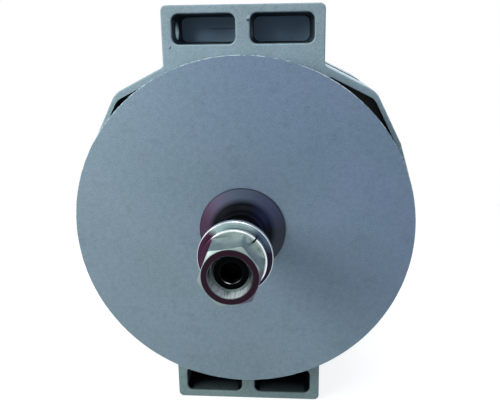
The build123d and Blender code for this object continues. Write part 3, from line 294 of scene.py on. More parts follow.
class Finish(Nodes):
    """A material in the making, whose patterns follow the place on its piece."""

    def __init__(self, name, roughness=0.5, metallic=0.0):
        self.material = bpy.data.materials.new(name)
        self.material.use_nodes = True
        super().__init__(self.material.node_tree)
        self.shader = self.tree.nodes["Principled BSDF"]
        self.sources = self.node("ShaderNodeTexCoord").outputs
        self.place = self.sources["Object"]
        self.x, self.y, self.z = self.parts(self.place)
        self.set("Roughness", roughness)
        self.set("Metallic", metallic)

    def set(self, name, value):
        """Gives one of the shader's own sockets its value."""
        self.put(self.shader.inputs[name], value)

    def parts(self, vector):
        """The three separate numbers of a vector."""
        return self.node("ShaderNodeSeparateXYZ", {0: vector}).outputs

    def product(self, *values):
        """Values multiplied. Of shares, it is one only where all of them are."""
        result = values[0]
        for value in values[1:]:
            result = self.maths("MULTIPLY", result, value)
        return result

    def diagonal(self, first, second):
        """The length of the diagonal over two sides."""
        squares = self.maths("ADD", self.product(first, first), self.product(second, second))
        return self.maths("SQRT", squares)

    @cached_property
    def radius(self):
        """Distance from the shaft's axis."""
        return self.diagonal(self.x, self.z)

    @cached_property
    def angle(self):
        """Angle round the shaft."""
        return self.maths("ARCTAN2", self.z, self.x)

    def off(self, value, millimetres):
        """How far a value is from a place."""
        return self.maths("ABSOLUTE", self.maths("SUBTRACT", value, millimetres * MM))

    def between(self, value, start, end, first=0.0, last=1.0):
        """Maps a stretch of values on to another, and holds it at both ends."""
        return self.node("ShaderNodeMapRange",
                         {"Value": value, "From Min": start, "From Max": end,
                          "To Min": first, "To Max": last}).outputs["Result"]

    def slide(self, share, first, last):
        """Goes from one number to another as a share grows."""
        return self.between(share, 0.0, 1.0, first, last)

    def ramp(self, value, start, end, first=0.0, last=1.0):
        """The same as between, over a stretch in millimetres."""
        return self.between(value, start * MM, end * MM, first, last)

    def band(self, value, start, full, fade, end):
        """Grows over the first pair of millimetres and fades over the second."""
        return self.product(self.ramp(value, start, full), self.ramp(value, end, fade))

    def past(self, station, start, end, first=0.0, last=1.0):
        """A ramp in millimetres behind a station on the shaft."""
        return self.between(self.y, station + start * MM, station + end * MM, first, last)

    def beyond(self, radius, start, end, first=0.0, last=1.0):
        """A ramp in millimetres outside a radius."""
        return self.between(self.radius, radius + start * MM, radius + end * MM, first, last)

    def swept(self, start, end):
        """A ramp between two angles round the shaft, in degrees."""
        return self.between(self.angle, math.radians(start), math.radians(end))

    def noise(self, size, detail=3.0, rough=0.5, stretch=None):
        """Cloudy noise whose features are about one size, and may be stretched."""
        place = self.place
        if stretch is not None:
            place = self.node("ShaderNodeMapping", {"Vector": place,
                                                    "Scale": stretch}).outputs["Vector"]
        return self.node("ShaderNodeTexNoise",
                         {"Vector": place, "Scale": 1 / size,
                          "Detail": detail, "Roughness": rough}).outputs["Fac"]

    def mixed(self, share, first, second, blend="MIX"):
        """A colour between two, by a share."""
        made = self.node("ShaderNodeMix", data_type="RGBA", blend_type=blend)
        self.put(made.inputs[0], share)
        self.put(made.inputs[6], first)
        self.put(made.inputs[7], second)
        return made.outputs[2]

    @property
    def colour(self):
        """The socket that the base colour comes from."""
        return self.shader.inputs["Base Color"].links[0].from_socket

    def base(self, share, first, second):
        """Sets a base colour between two, by a share."""
        self.set("Base Color", self.mixed(share, first, second))

    def paint(self, share, colour, blend="MIX"):
        """Lays a colour over the base colour, by a share."""
        self.set("Base Color", self.mixed(share, self.colour, colour, blend))

    def sheen(self, noise, first, last):
        """Lets the roughness follow a noise."""
        self.set("Roughness", self.between(noise, 0.3, 0.7, first, last))

    def bump(self, height, depth, strength):
        """Sets a bump of a real depth in metres on the shader."""
        made = self.node("ShaderNodeBump", {"Height": height, "Distance": depth,
                                            "Strength": strength})
        self.set("Normal", made.outputs["Normal"])


def blasted(name, tone, shade, grain, metallic, roughness):
    """Aluminium after bead blasting: soft grain, faint clouds, bright grains and pits."""
    finish = Finish(name, metallic=metallic)
    clouds = finish.noise(30 * MM, detail=2)
    fine = finish.noise(grain, detail=4, rough=0.65)
    blotches = finish.noise(6 * grain, detail=3)
    pits = finish.noise(1.7 * grain, detail=1)
    bright = finish.mixed(0.5, tone, (0.75, 0.8, 0.83))
    finish.base(finish.between(clouds, 0.35, 0.65), shade, tone)
    finish.paint(finish.between(fine, 0.35, 0.65, 0.0, 0.55), bright)
    finish.paint(finish.between(blotches, 0.35, 0.6, 0.14, 0.0), shaded(shade, 0.5))
    finish.paint(finish.between(pits, 0.28, 0.36, 0.3, 0.0), shaded(shade, 0.45))
    finish.sheen(fine, roughness - 0.07, roughness + 0.07)
    finish.bump(fine, 0.12 * grain, 0.6)
    return finish


def turned(name, tone, groove, metallic=1.0, roughness=0.35):
    """Steel turned in a lathe: fine rings about the shaft's axis."""
    finish = Finish(name, metallic=metallic)
    across = finish.maths("DIVIDE", finish.maths("ADD", finish.radius, finish.y), groove)
    lines = finish.node("ShaderNodeTexNoise", {"W": across, "Scale": 1.0, "Detail": 2.0},
                        noise_dimensions="1D").outputs["Fac"]
    clouds = finish.noise(4 * MM, detail=2)
    finish.base(finish.between(clouds, 0.3, 0.7, 0.0, 0.3), tone, shaded(tone, 0.7))
    finish.sheen(lines, roughness - 0.08, roughness + 0.1)
    finish.bump(lines, 0.1 * groove, 0.5)
    return finish


def plated(name, tone, dull, roughness=0.28):
    """Bright plate on steel, with faint clouds and hair scratches."""
    finish = Finish(name, metallic=0.9)
    clouds = finish.noise(4 * MM, detail=3)
    hairs = finish.noise(1.2 * MM, detail=2, stretch=(1, 9, 1))
    finish.base(finish.between(clouds, 0.3, 0.7), dull, tone)
    finish.paint(finish.between(hairs, 0.62, 0.75, 0.0, 0.2), shaded(tone, 1.25))
    finish.sheen(clouds, roughness - 0.06, roughness + 0.08)
    finish.bump(hairs, 0.03 * MM, 0.35)
    return finish


def moulded(name, tone, roughness=0.45):
    """Moulded black plastic or rubber, with a fine mould texture."""
    finish = Finish(name)
    clouds = finish.noise(20 * MM)
    fine = finish.noise(0.6 * MM, detail=2)
    finish.base(finish.between(clouds, 0.3, 0.7, 0.0, 0.4), tone, shaded(tone, 1.5))
    finish.sheen(fine, roughness - 0.06, roughness + 0.1)
    finish.bump(fine, 0.04 * MM, 0.5)
    return finish


def painted(name, tone):
    """Satin black powder paint with its orange-peel surface."""
    finish = Finish(name)
    peel = finish.noise(1.8 * MM, detail=2)
    dust = finish.noise(12 * MM, detail=4)
    finish.base(finish.between(dust, 0.55, 0.75, 0.0, 0.25), tone, (0.11, 0.12, 0.12))
    finish.sheen(peel, 0.34, 0.46)
    finish.bump(peel, 0.08 * MM, 0.5)
    return finish


def enamelled(name):
    """Varnished copper winding wire."""
    finish = Finish(name, metallic=0.55)
    drips = finish.noise(6 * MM, detail=3)
    wires = finish.noise(1.6 * MM, detail=1, stretch=(1, 0.25, 1))
    finish.base(finish.between(drips, 0.4, 0.6), srgb(150, 78, 40), srgb(178, 98, 52))
    finish.paint(finish.between(wires, 0.3, 0.5, 0.45, 0.0), srgb(78, 36, 20))
    finish.sheen(drips, 0.22, 0.42)
    finish.bump(wires, 0.3 * MM, 0.6)
    return finish


def laminated(name):
    """The edges of steel sheets stacked along the shaft."""
    finish = Finish(name, metallic=0.7)
    sheets = finish.maths("FRACT", finish.maths("DIVIDE", finish.y, 0.5 * MM))
    joints = finish.between(sheets, 0.8, 0.9)
    clouds = finish.noise(8 * MM, detail=4)
    finish.base(finish.between(clouds, 0.4, 0.62), srgb(96, 97, 99), srgb(122, 108, 96))
    finish.paint(joints, srgb(52, 50, 50))
    finish.sheen(clouds, 0.42, 0.6)
    finish.bump(joints, -0.12 * MM, 0.7)
    return finish


def forged(name, tone, scale_tone):
    """Forged pole steel with a little mill scale."""
    finish = Finish(name, metallic=0.75)
    scale = finish.noise(10 * MM, detail=4)
    fine = finish.noise(0.9 * MM, detail=3)
    finish.base(finish.between(scale, 0.42, 0.6), tone, scale_tone)
    finish.sheen(fine, 0.38, 0.6)
    finish.bump(fine, 0.08 * MM, 0.6)
    return finish


def linked(name, data):
    """A new object at the origin that holds a mesh, a lamp or a camera."""
    made = bpy.data.objects.new(name, data)
    bpy.context.scene.collection.objects.link(made)
    return made


def smoothed(mesh):
    """Smooth shading that keeps the sharp edges sharp."""
    mesh.shade_smooth()
    mesh.set_sharp_from_angle(angle=SHARP_ANGLE)
    return mesh


def mesh_from(name, shape):
    """Cleans a bmesh, turns its faces outwards and makes it a mesh."""
    bmesh.ops.remove_doubles(shape, verts=shape.verts, dist=1e-7)
    bmesh.ops.recalc_face_normals(shape, faces=shape.faces)
    mesh = bpy.data.meshes.new(name)
    shape.to_mesh(mesh)
    shape.free()
    return smoothed(mesh)


def skin(rows, loop=False):
    """Joins rows of points with faces. The last row joins the first, or both get a cap."""
    shape = bmesh.new()
    rows = [[shape.verts.new(point) for point in row] for row in rows]
    pairs = list(zip(rows, rows[1:]))
    if loop:
        pairs.append((rows[-1], rows[0]))
    for before, after in pairs:
        for k, corner in enumerate(before):
            n = (k + 1) % len(before)
            shape.faces.new((corner, before[n], after[n], after[k]))
    if not loop:
        shape.faces.new(rows[0])
        shape.faces.new(rows[-1])
    return shape


def ring_angles(segments):
    """The angles of a ring's points."""
    return np.arange(segments) * FULL_TURN / segments


def lathe(rings, segments, loop=False):
    """A shape turned round the Y axis. A ring is a radius and a station, each one number
    or one number for each angle."""
    angles = ring_angles(segments)
    rows = []
    for radius, station in rings:
        points = (radius * np.cos(angles), station + 0 * angles, radius * np.sin(angles))
        rows.append(np.stack(points, axis=1).tolist())
    return skin(rows, loop)


def at(station, *rings):
    """Rings with a radius and a distance behind a station, both in millimetres."""
    return [(radius * MM, station + behind * MM) for radius, behind in rings]


def moved(shape, turned_by=0.0, shift=(0.0, 0.0, 0.0)):
    """Turns a shape round the shaft's axis, and then shifts it."""
    matrix = Matrix.Translation(shift) @ Matrix.Rotation(-turned_by, 4, "Y")
    bmesh.ops.transform(shape, matrix=matrix, verts=shape.verts)
    return shape


def rounded(corners, steps=4):
    """A closed outline of radius and station, with a round on each corner that has one."""
    points = []
    for k, (radius, station, bend) in enumerate(corners):
        here = Vector((radius, station))
        if not bend:
            points.append(tuple(here))
            continue
        to_before = (Vector(corners[k - 1][:2]) - here).normalized()
        to_after = (Vector(corners[(k + 1) % len(corners)][:2]) - here).normalized()
        half = to_before.angle(to_after) / 2
        centre = here + (to_before + to_after).normalized() * (bend / math.sin(half))
        start = (here + to_before * (bend / math.tan(half)) - centre).normalized()
        end = (here + to_after * (bend / math.tan(half)) - centre).normalized()
        for step in range(steps + 1):
            points.append(tuple(centre + start.slerp(end, step / steps) * bend))
    return points


def hexagon(flats, corner, segments):
    """The radius of a hexagon at each angle, with its corners taken off at a radius."""
    inside = np.mod(ring_angles(segments) + math.pi / 6, math.pi / 3) - math.pi / 6
    return np.minimum(flats / 2 / np.cos(inside), corner)


def nut_rings(flats, land, face_edge, front, back, segments):
    """The outside of a hex nut from its front face round to its back face."""
    chamfer_slope = 0.52
    flat_rim, edge = 0.12 * MM, 0.02 * MM
    corner_round, corner_run = 0.06 * MM, 0.08 * MM
    outline = hexagon(flats, flats / math.sqrt(3) - land, segments)
    drop = np.maximum(outline - face_edge, 0.0) * chamfer_slope
    return [(face_edge - flat_rim, front), (face_edge, front + edge),
            (outline - corner_round, front + drop), (outline, front + drop + corner_run),
            (outline, back - drop - corner_run), (outline - corner_round, back - drop),
            (face_edge, back - edge), (face_edge - flat_rim, back)]


def thread(radius, depth, pitch, start, end, segments):
    """Rings of a screw thread between two stations, fading out at both ends."""
    steps, steepness, crest = 10, 1.25, 0.12
    angles = ring_angles(segments)
    count = max(4, round(abs(end - start) / pitch * steps))
    rings = []
    for station in np.linspace(start, end, count + 1):
        phase = np.mod(station / pitch + angles / FULL_TURN, 1.0)
        groove = np.clip(steepness * (1 - np.abs(2 * phase - 1)) - crest, 0.0, 1.0)
        fade = min(1.0, abs(station - start) / pitch, abs(end - station) / pitch)
        rings.append((radius - depth * fade * groove, station))
    return rings


def copies_tree():
    """A Geometry Nodes tree that sets Count copies of its geometry. They stand Turn apart
    round the shaft from First, and Shift apart in a row."""
    tree = bpy.data.node_groups.new(COPIES_TREE, "GeometryNodeTree")
    tree.interface.new_socket("Geometry", in_out="OUTPUT", socket_type="NodeSocketGeometry")
    for label, kind in (("Geometry", "Geometry"), ("Count", "Int"), ("Turn", "Float"),
                        ("First", "Float"), ("Shift", "Vector"), ("Material", "Material")):
        tree.interface.new_socket(label, in_out="INPUT", socket_type=f"NodeSocket{kind}")
    nodes = Nodes(tree)
    given = nodes.node("NodeGroupInput").outputs
    index = nodes.node("GeometryNodeInputIndex").outputs[0]
    angle = nodes.maths("MULTIPLY_ADD", index, given["Turn"], given["First"])
    spin = nodes.node("ShaderNodeCombineXYZ", {"Y": angle})
    shift = nodes.node("ShaderNodeVectorMath", {0: given["Shift"], "Scale": index},
                       operation="SCALE")
    points = nodes.node("GeometryNodePoints", {"Count": given["Count"],
                                               "Position": shift.outputs[0]})
    copies = nodes.node("GeometryNodeInstanceOnPoints", {
        "Points": points.outputs[0], "Instance": given["Geometry"],
        "Rotation": spin.outputs[0]})
    real = nodes.node("GeometryNodeRealizeInstances", {"Geometry": copies.outputs[0]})
    covered = nodes.node("GeometryNodeSetMaterial", {"Geometry": real.outputs[0],
                                                     "Material": given["Material"]})
    nodes.node("NodeGroupOutput", {"Geometry": covered.outputs[0]})
    return tree


def repeated(piece, finish, count, first=0.0, shift=None):
    """Sets copies of a piece evenly round the shaft, or in a row by a shift, and leaves
    the tree's result as a plain mesh."""
    tree = bpy.data.node_groups.get(COPIES_TREE) or copies_tree()
    modifier = piece.modifiers.new("copies", "NODES")
    modifier.node_group = tree
    values = {"Count": count, "Turn": 0.0 if shift else -FULL_TURN / count,
              "First": -first, "Shift": shift or (0.0, 0.0, 0.0),
              "Material": finish.material}
    for item in tree.interface.items_tree:
        if item.in_out == "INPUT" and item.name in values:
            modifier[item.identifier] = values[item.name]
    bpy.context.view_layer.update()
    graph = bpy.context.evaluated_depsgraph_get()
    mesh = bpy.data.meshes.new_from_object(piece.evaluated_get(graph))
    piece.modifiers.remove(modifier)
    piece.data = smoothed(mesh)


def coated(mesh, finish):
    """Gives a mesh its one finish."""
    mesh.materials.clear()
    mesh.materials.append(finish.material)
    return mesh


def fitted(piece, body, slot, *nodes):
    """Gives a finished piece its body and hides the nodes it replaces; the slot is not used."""
    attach(piece, body)
    if nodes:
        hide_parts(*nodes)


def dressed(name, shape, finish, body, slot, *nodes, **copies):
    """Makes a shape a finished piece, with its copies where it has some."""
    piece = linked(name, coated(mesh_from(name, shape), finish))
    if copies:
        repeated(piece, finish, **copies)
    fitted(piece, body, slot, *nodes)


def coat(finish, *nodes):
    """Gives CAD nodes a finish."""
    for node in nodes:
        coated(cad_mesh(node), finish)


class ALTERNATOR_OT_castings(bpy.types.Operator):
    """Finish the two castings"""

    bl_idname = "alternator.castings"
    bl_label = "Castings"

    # Knocks on the upper wing's face: x, z and size in millimetres, and a colour.
    KNOCKS = ((3.9, 113.6, 1.9, srgb(176, 198, 208)), (3.1, 112.6, 1.1, srgb(30, 38, 52)),
              (-40.6, 98.2, 0.6, srgb(52, 74, 84)), (-40.1, 98.9, 0.5, srgb(60, 84, 92)))

    def execute(self, context):
        look = context.scene.casting_look
        front = low("drive_end_housing").y
        rear = high("rear_housing").y
        finish = blasted("cast_aluminium", look.tone, look.shade, look.grain,
                         metallic=0.15, roughness=0.58)
        self.weather(finish, look, front, rear)
        for node, mouth in (("drive_end_housing", front), ("rear_housing", rear)):
            mesh = coated(cad_mesh(node).copy(), finish)
            self.draft(mesh, look.draft, mouth)
            fitted(linked(f"{node}_cast", mesh), "housing", "cast_aluminium", node)
        return {"FINISHED"}

    def draft(self, mesh, slope, mouth):
        """Draws the +X walls, roofs and floors of the wing pockets in towards their backs."""
        lip, slack = 1.0, 0.5
        for vertex in mesh.vertices:
            x, y, z = vertex.co / MM
            inward = abs(y - mouth / MM)
            across = x - math.copysign(POCKET_X, x)
            upright = z - math.copysign(POCKET_Z, z)
            if lip < inward < POCKET_DEPTH + slack and abs(upright) < POCKET_HALF_Z + lip \
                    and abs(across) < POCKET_HALF_X + slack:
                lean = slope * min(1.0, inward / POCKET_DEPTH)
                vertex.co.x -= lean * max(0.0, across) / POCKET_HALF_X
                vertex.co.z -= 0.5 * lean * upright / POCKET_HALF_Z

    def weather(self, finish, look, front, rear):
        """Painted shade below, in the bells and pockets; painted light in the upper pockets; and
        knocks.
        """
        z = finish.z
        # Painted shade over the lower wing.
        finish.paint(finish.ramp(z, -60, -95), look.lower_wing_shade, "MULTIPLY")
        finish.paint(finish.product(finish.ramp(z, 107, 98, 0.0, 0.1),
                                    finish.ramp(z, -60, -20)), (0.5, 0.8, 0.95))
        # Painted shade inside the bells and behind the fan.
        finish.paint(self.bell_shade_share(finish, front), look.inside)
        inward = finish.maths("MINIMUM", finish.maths("SUBTRACT", finish.y, front),
                              finish.maths("SUBTRACT", rear, finish.y))
        pocket = self.pocket(finish, inward)
        above = finish.ramp(z, -50, 50)
        back_wall = finish.ramp(inward, POCKET_DEPTH - 1.0, POCKET_DEPTH - 0.1)
        floor = finish.mixed(self.seam(finish), look.clean, look.pocket_shade)
        # Painted shade on the pockets' walls, stronger in the lower pockets.
        finish.paint(finish.product(pocket, finish.slide(above, 0.99, 0.84)), look.pocket_shade)
        # Painted light on the back walls of the upper pockets; the seam takes the pocket shade
        # colour.
        finish.paint(finish.product(above, back_wall, pocket), floor)
        for x, z, size, tone in self.KNOCKS:
            away = finish.node("ShaderNodeVectorMath", {
                0: finish.place, 1: (x * MM, front, z * MM)},
                operation="DISTANCE").outputs["Value"]
            finish.paint(finish.ramp(away, 0.6 * size, size, 0.9, 0.0), tone)
        finish.set("Specular IOR Level", finish.slide(pocket, 0.5, 0.06))

    def pocket(self, finish, inward):
        """A share that is one inside the wings' pockets."""
        near, far = POCKET_X - POCKET_HALF_X, POCKET_X + POCKET_HALF_X
        bottom, top = POCKET_Z - POCKET_HALF_Z, POCKET_Z + POCKET_HALF_Z
        deep = finish.band(inward, 0.4, 1.5, POCKET_DEPTH + 0.1, POCKET_DEPTH + 0.4)
        tall = finish.band(finish.off(finish.z, 0), bottom - 1.0, bottom + 0.5,
                           top - 0.4, top + 0.8)
        wide = finish.band(finish.off(finish.x, 0), near - 0.8, near + 0.2,
                           far - 0.2, far + 0.8)
        return finish.product(deep, tall, wide)

    def bell_shade_share(self, finish, front):
        """A share, one where a face looks at the shaft or forwards behind the fan, for painted
        shade.
        """
        facing_x, facing_y, facing_z = finish.parts(finish.sources["Normal"])
        outwards = finish.maths("DIVIDE", finish.maths(
            "ADD", finish.product(finish.x, facing_x), finish.product(finish.z, facing_z)),
            finish.radius)
        inner = finish.between(outwards, -0.1, -0.4)
        end_wall = finish.product(finish.between(facing_y, -0.4, -0.7),
                                  finish.past(front, 10, 12), finish.past(front, 55, 50))
        below_wings = finish.ramp(finish.off(finish.z, 0), 98.4, 97.4)
        return finish.product(finish.maths("MAXIMUM", inner, end_wall),
                              finish.past(front, 0.8, 4.0), below_wings)

    def seam(self, finish):
        """A thin casting seam on the floor of the upper left pocket."""
        seam_z, left, half = 108.6, -26.0, 0.16
        on_line = finish.ramp(finish.off(finish.z, seam_z), half, 2.4 * half, 0.55, 0.0)
        return finish.product(on_line, finish.band(finish.x, left, 0.8 * left, 0.0, 1.0))


class ALTERNATOR_OT_fan(bpy.types.Operator):
    """Build the fan's disc and blades"""

    bl_idname = "alternator.fan"
    bl_label = "Fan"

    def execute(self, context):
        look = context.scene.fan_look
        bore = context.scene.shaft_look.spigot
        front, tip = ends("fan")
        rim = high("fan").x
        back = front + look.thickness
        hub_back = low("inner_spacer").y
        finish = self.blasted_face(look, front, rim)
        disc = lathe(rounded((
            (bore, front, 0), (rim, front, look.rim_round), (rim, back, look.rim_round),
            (look.hub, back, 2.0 * MM), (look.hub, hub_back, look.blade_round),
            (bore, hub_back, 0))), segments=256, loop=True)
        dressed("fan_disc", disc, finish, "rotor", "fan_aluminium", "fan")
        dressed("fan_blades", self.blade(look, back, tip), finish, "rotor",
                "fan_aluminium", "fan", count=look.blades)
        return {"FINISHED"}

    def blasted_face(self, look, front, rim):
        """Blasted metal with painted shade at the upper right, and a rim of bare metal and
        painted highlight.
        """
        finish = blasted("fan_aluminium", look.tone, look.patch, 0.5 * MM,
                         metallic=0.2, roughness=0.5)
        upper_right = finish.ramp(finish.maths("ADD", finish.x, finish.z), -60, 90)
        smudges = finish.noise(11 * MM, detail=5, rough=0.7)
        wear_and_highlight = finish.between(finish.noise(3.4 * MM, detail=4, rough=0.75), 0.46, 0.58)
        on_rim = finish.product(
            finish.between(finish.radius, rim - 1.1 * look.rim_round, rim - 0.2 * MM),
            finish.between(finish.y, front + 2.0 * look.rim_round,
                           front + 1.2 * look.rim_round))
        # Painted shade over the upper right of the disc's face.
        finish.paint(upper_right, look.upper_right_shade, "MULTIPLY")
        finish.paint(finish.between(smudges, 0.54, 0.68, 0.0, 0.2), shaded(look.tone, 0.55))
        # The rim: bare metal from wear and painted highlight, broken up by noise.
        finish.paint(on_rim, finish.mixed(wear_and_highlight, look.patch, look.edge))
        return finish

    def blade(self, look, back, tip):
        """One swept blade: a bowed strip with rounded edges, standing on the disc."""
        spans = 20
        half = look.blade_thickness / 2
        reach = look.blade_outer - look.blade_inner
        section = rounded(((-half, back, 0), (half, back, 0), (half, tip, look.blade_round),
                           (-half, tip, look.blade_round)), steps=3)
        line = []
        for share in np.linspace(0.0, 1.0, spans + 1):
            radius = look.blade_inner + reach * share + look.blade_bow * math.sin(math.pi * share)
            angle = look.blade_sweep * share
            line.append(Vector((radius * math.cos(angle), 0, radius * math.sin(angle))))
        rows = []
        for k, point in enumerate(line):
            ahead = line[min(k + 1, spans)] - line[max(k - 1, 0)]
            side = Vector((-ahead.z, 0, ahead.x)).normalized()
            rows.append([point + side * across + Vector((0, station, 0))
                         for across, station in section])
        return skin(rows)


class ALTERNATOR_OT_collar(bpy.types.Operator):
    """Build the collar that holds the fan"""

    bl_idname = "alternator.collar"
    bl_label = "Fan collar"

    def execute(self, context):
        look = context.scene.shaft_look
        front, back = ends("fan_collar")
        flange = high("fan_collar").x
        cone_front = back - 3.6 * MM
        flange_front = back - 0.9 * MM
        shape = lathe(rounded((
            (look.spigot, front, 0), (look.nose, front, 0.4 * MM),
            (look.nose + 0.5 * MM, cone_front - 2 * MM, 0.6 * MM),
            (look.cone_foot, cone_front, 1.2 * MM), (flange, flange_front, 0.25 * MM),
            (flange, back, 0), (look.spigot, back, 0)), steps=6), segments=192, loop=True)
        dressed("fan_collar_turned", shape, self.steel(look, flange), "rotor",
                "dark_steel", "fan_collar")
        return {"FINISHED"}

    def steel(self, look, flange):
        """Oil-dark turned steel, painted reflection warm left and blue above, painted shade at
        the cone.
        """
        finish = turned("collar_steel", look.collar_tone, 0.35 * MM, metallic=0.6,
                        roughness=0.46)
        x, z = finish.x, finish.z
        lower_right_shade = finish.ramp(finish.maths("SUBTRACT", x, z), -4, 20, 0.0, 0.7)
        cone = finish.beyond(look.cone_foot, 4.0, 0.8)
        upper_right = finish.product(finish.ramp(x, 4, 12), finish.ramp(z, 0, 8, 0.0, 0.45))
        # Painted reflection on the left and upper right; painted shade on the lower right, cone
        # and flange rim.
        finish.paint(finish.ramp(x, -4, -20), look.collar_left_reflection)
        finish.paint(lower_right_shade, look.collar_shade)
        finish.paint(cone, look.collar_shade)
        finish.paint(upper_right, look.collar_right_reflection)
        finish.paint(finish.beyond(flange, -0.7, -0.4, 0.0, 0.6), look.collar_shade)
        finish.set("Specular IOR Level", finish.slide(cone, 0.5, 0.1))
        return finish


class ALTERNATOR_OT_shaft(bpy.types.Operator):
    """Build the shaft with its thread and hex socket"""

    bl_idname = "alternator.shaft"
    bl_label = "Shaft"

    def execute(self, context):
        look = context.scene.shaft_look
        front, seat_front = low("rotor_shaft").y, high("flat_washer").y
        segments, socket_corner = 96, 4.5
        major = look.thread_radius
        root = major - look.thread_depth
        land = major - look.chamfer
        relief_front = seat_front - look.relief
        socket = hexagon(look.socket / MM, socket_corner, segments)
        rings = at(front, (0, 10), (socket, 9.6), (socket, 1.4), (5.1, 0.35), (5.4, 0.05),
                   (5.55, 0))
        rings += [(land - 0.15 * MM, front), (land, front + 0.1 * MM),
                  (root + 0.3 * MM, front + look.chamfer)]
        rings += thread(major, look.thread_depth, look.thread_pitch, front + look.chamfer,
                        relief_front, segments)
        rings += [(root, relief_front + 0.2 * MM), (root, seat_front - 0.2 * MM),
                  (look.seat - 0.4 * MM, seat_front)]
        rings += self.steps(look, seat_front + 0.4 * MM)
        finish = self.steel(look, front, seat_front)
        dressed("shaft_turned", lathe(rings, segments), finish, "rotor", "dark_steel",
                "rotor_shaft")
        coat(finish, "inner_spacer")
        return {"FINISHED"}

    def steps(self, look, start):
        """The shaft's steps from the pulley's seat back: each a radius and its back end."""
        back = high("rotor_shaft").y
        rings = []
        for radius, end in (
                (look.seat, 0.0), (look.spigot, low("front_bearing_inner_race").y),
                (12.5 * MM, high("front_bearing_inner_race").y),
                (16.0 * MM, low("front_pole").y), (15.0 * MM, high("stator_core").y),
                (12.0 * MM, low("rear_bearing_inner_race").y), (10.0 * MM, back - 0.5 * MM)):
            rings += [(radius, start), (radius, end)]
            start = end
        return rings + [(9.5 * MM, back), (0.0, back)]

    def steel(self, look, front, seat_front):
        """Oil-dark steel, lighter on the thread partly as painted light, with a painted glint on
        the socket's mouth.
        """
        finish = turned("shaft_steel", look.tone, 0.3 * MM, metallic=0.8, roughness=0.34)
        threaded = finish.product(finish.past(front, 0.03, 0.1),
                                  finish.past(seat_front, 0.0, -1.0),
                                  finish.ramp(finish.radius, 7.9, 8.2))
        in_shade = finish.maths("MAXIMUM", finish.past(front, 0.06, 0.02),
                                finish.ramp(finish.radius, 5.35, 5.2))
        # Painted glint on the lower edge of the socket's mouth.
        socket_glint = finish.product(finish.past(front, 0.6, 0.4),
                             finish.ramp(finish.off(finish.radius, 5.4), 0.17, 0.08),
                             finish.ramp(finish.z, -3.0, -4.4),
                             finish.ramp(finish.off(finish.x, -1.6), 0.5, 1.6, 1.0, 0.06))
        # The thread: bare steel, made light partly as painted light.
        finish.paint(threaded, look.bare_thread_and_light)
        finish.paint(in_shade, shaded(look.tone, 0.3))
        finish.paint(socket_glint, (0.7, 0.74, 0.78))
        finish.set("Specular IOR Level", finish.slide(in_shade, 0.5, 0.05))
        finish.set("Metallic", finish.slide(threaded, 0.8, 0.25))
        return finish


class ALTERNATOR_OT_nut(bpy.types.Operator):
    """Build the pulley nut"""

    bl_idname = "alternator.nut"
    bl_label = "Pulley nut"

    def execute(self, context):
        look = context.scene.nut_look
        segments = 144
        front, back = ends("pulley_nut")
        bore, mouth = look.bore, look.mouth
        rings = nut_rings(look.flats, look.corner_land, look.face_edge, front, back, segments)
        rings += [(bore + 0.6 * MM, back), (bore, back - 0.5 * MM), (bore, front + 1.0 * MM),
                  (mouth - 0.1 * MM, front + 0.4 * MM), (mouth, front + 0.1 * MM),
                  (mouth + 0.1 * MM, front)]
        shape = moved(lathe(rings, segments, loop=True), look.nut_turn)
        dressed("pulley_nut_plated", shape, self.plate(look, front), "pulley_fasteners",
                "zinc_steel", "pulley_nut")
        return {"FINISHED"}

    def plate(self, look, front):
        """Bright plate: painted dark reflection on the face, painted shadow on the chamfer,
        painted light in the bore.
        """
        finish = plated("nut_zinc", look.zinc, look.zinc_dull)
        x, z = finish.x, finish.z
        on_face = finish.product(finish.past(front, 0.06, 0.03),
                                 finish.beyond(look.mouth, 0.0, 0.15))
        chamfer = finish.past(front, 2.2, 1.2)
        # Painted shadow on the lower right of the chamfer.
        lower_right_shade = finish.ramp(finish.maths("SUBTRACT", x, finish.product(z, 0.6)),
                                  9.5, 12.5, 0.0, 0.9)
        inside = finish.beyond(look.mouth, -0.05, -0.2)
        # Painted light and shade in the bore: its lower wall lit, with streaky highlights, and
        # near black above.
        unlit = finish.ramp(finish.maths("ADD", z, finish.product(x, 0.2)), -8.2, -0.5)
        highlight_streaks = finish.noise(1.1 * MM, detail=2, stretch=(1, 0.08, 1))
        wall = finish.mixed(finish.between(highlight_streaks, 0.45, 0.7), look.washer_highlight,
                            shaded(look.zinc_dull, 0.75))
        finish.paint(finish.product(chamfer, 0.7), shaded(look.zinc_dull, 0.7))
        finish.paint(finish.product(chamfer, lower_right_shade), look.shadow)
        finish.paint(inside, finish.mixed(unlit, wall, (0.002, 0.003, 0.003)))
        # Painted dark reflection on the nut's face.
        finish.paint(on_face, look.face)
        finish.set("Metallic", finish.slide(inside, 0.85, 0.25))
        finish.set("Roughness", finish.slide(finish.maths("MAXIMUM", inside, chamfer),
                                             0.3, 0.5))
        finish.set("Specular IOR Level",
                   finish.slide(finish.product(inside, unlit), 0.5, 0.03))
        return finish


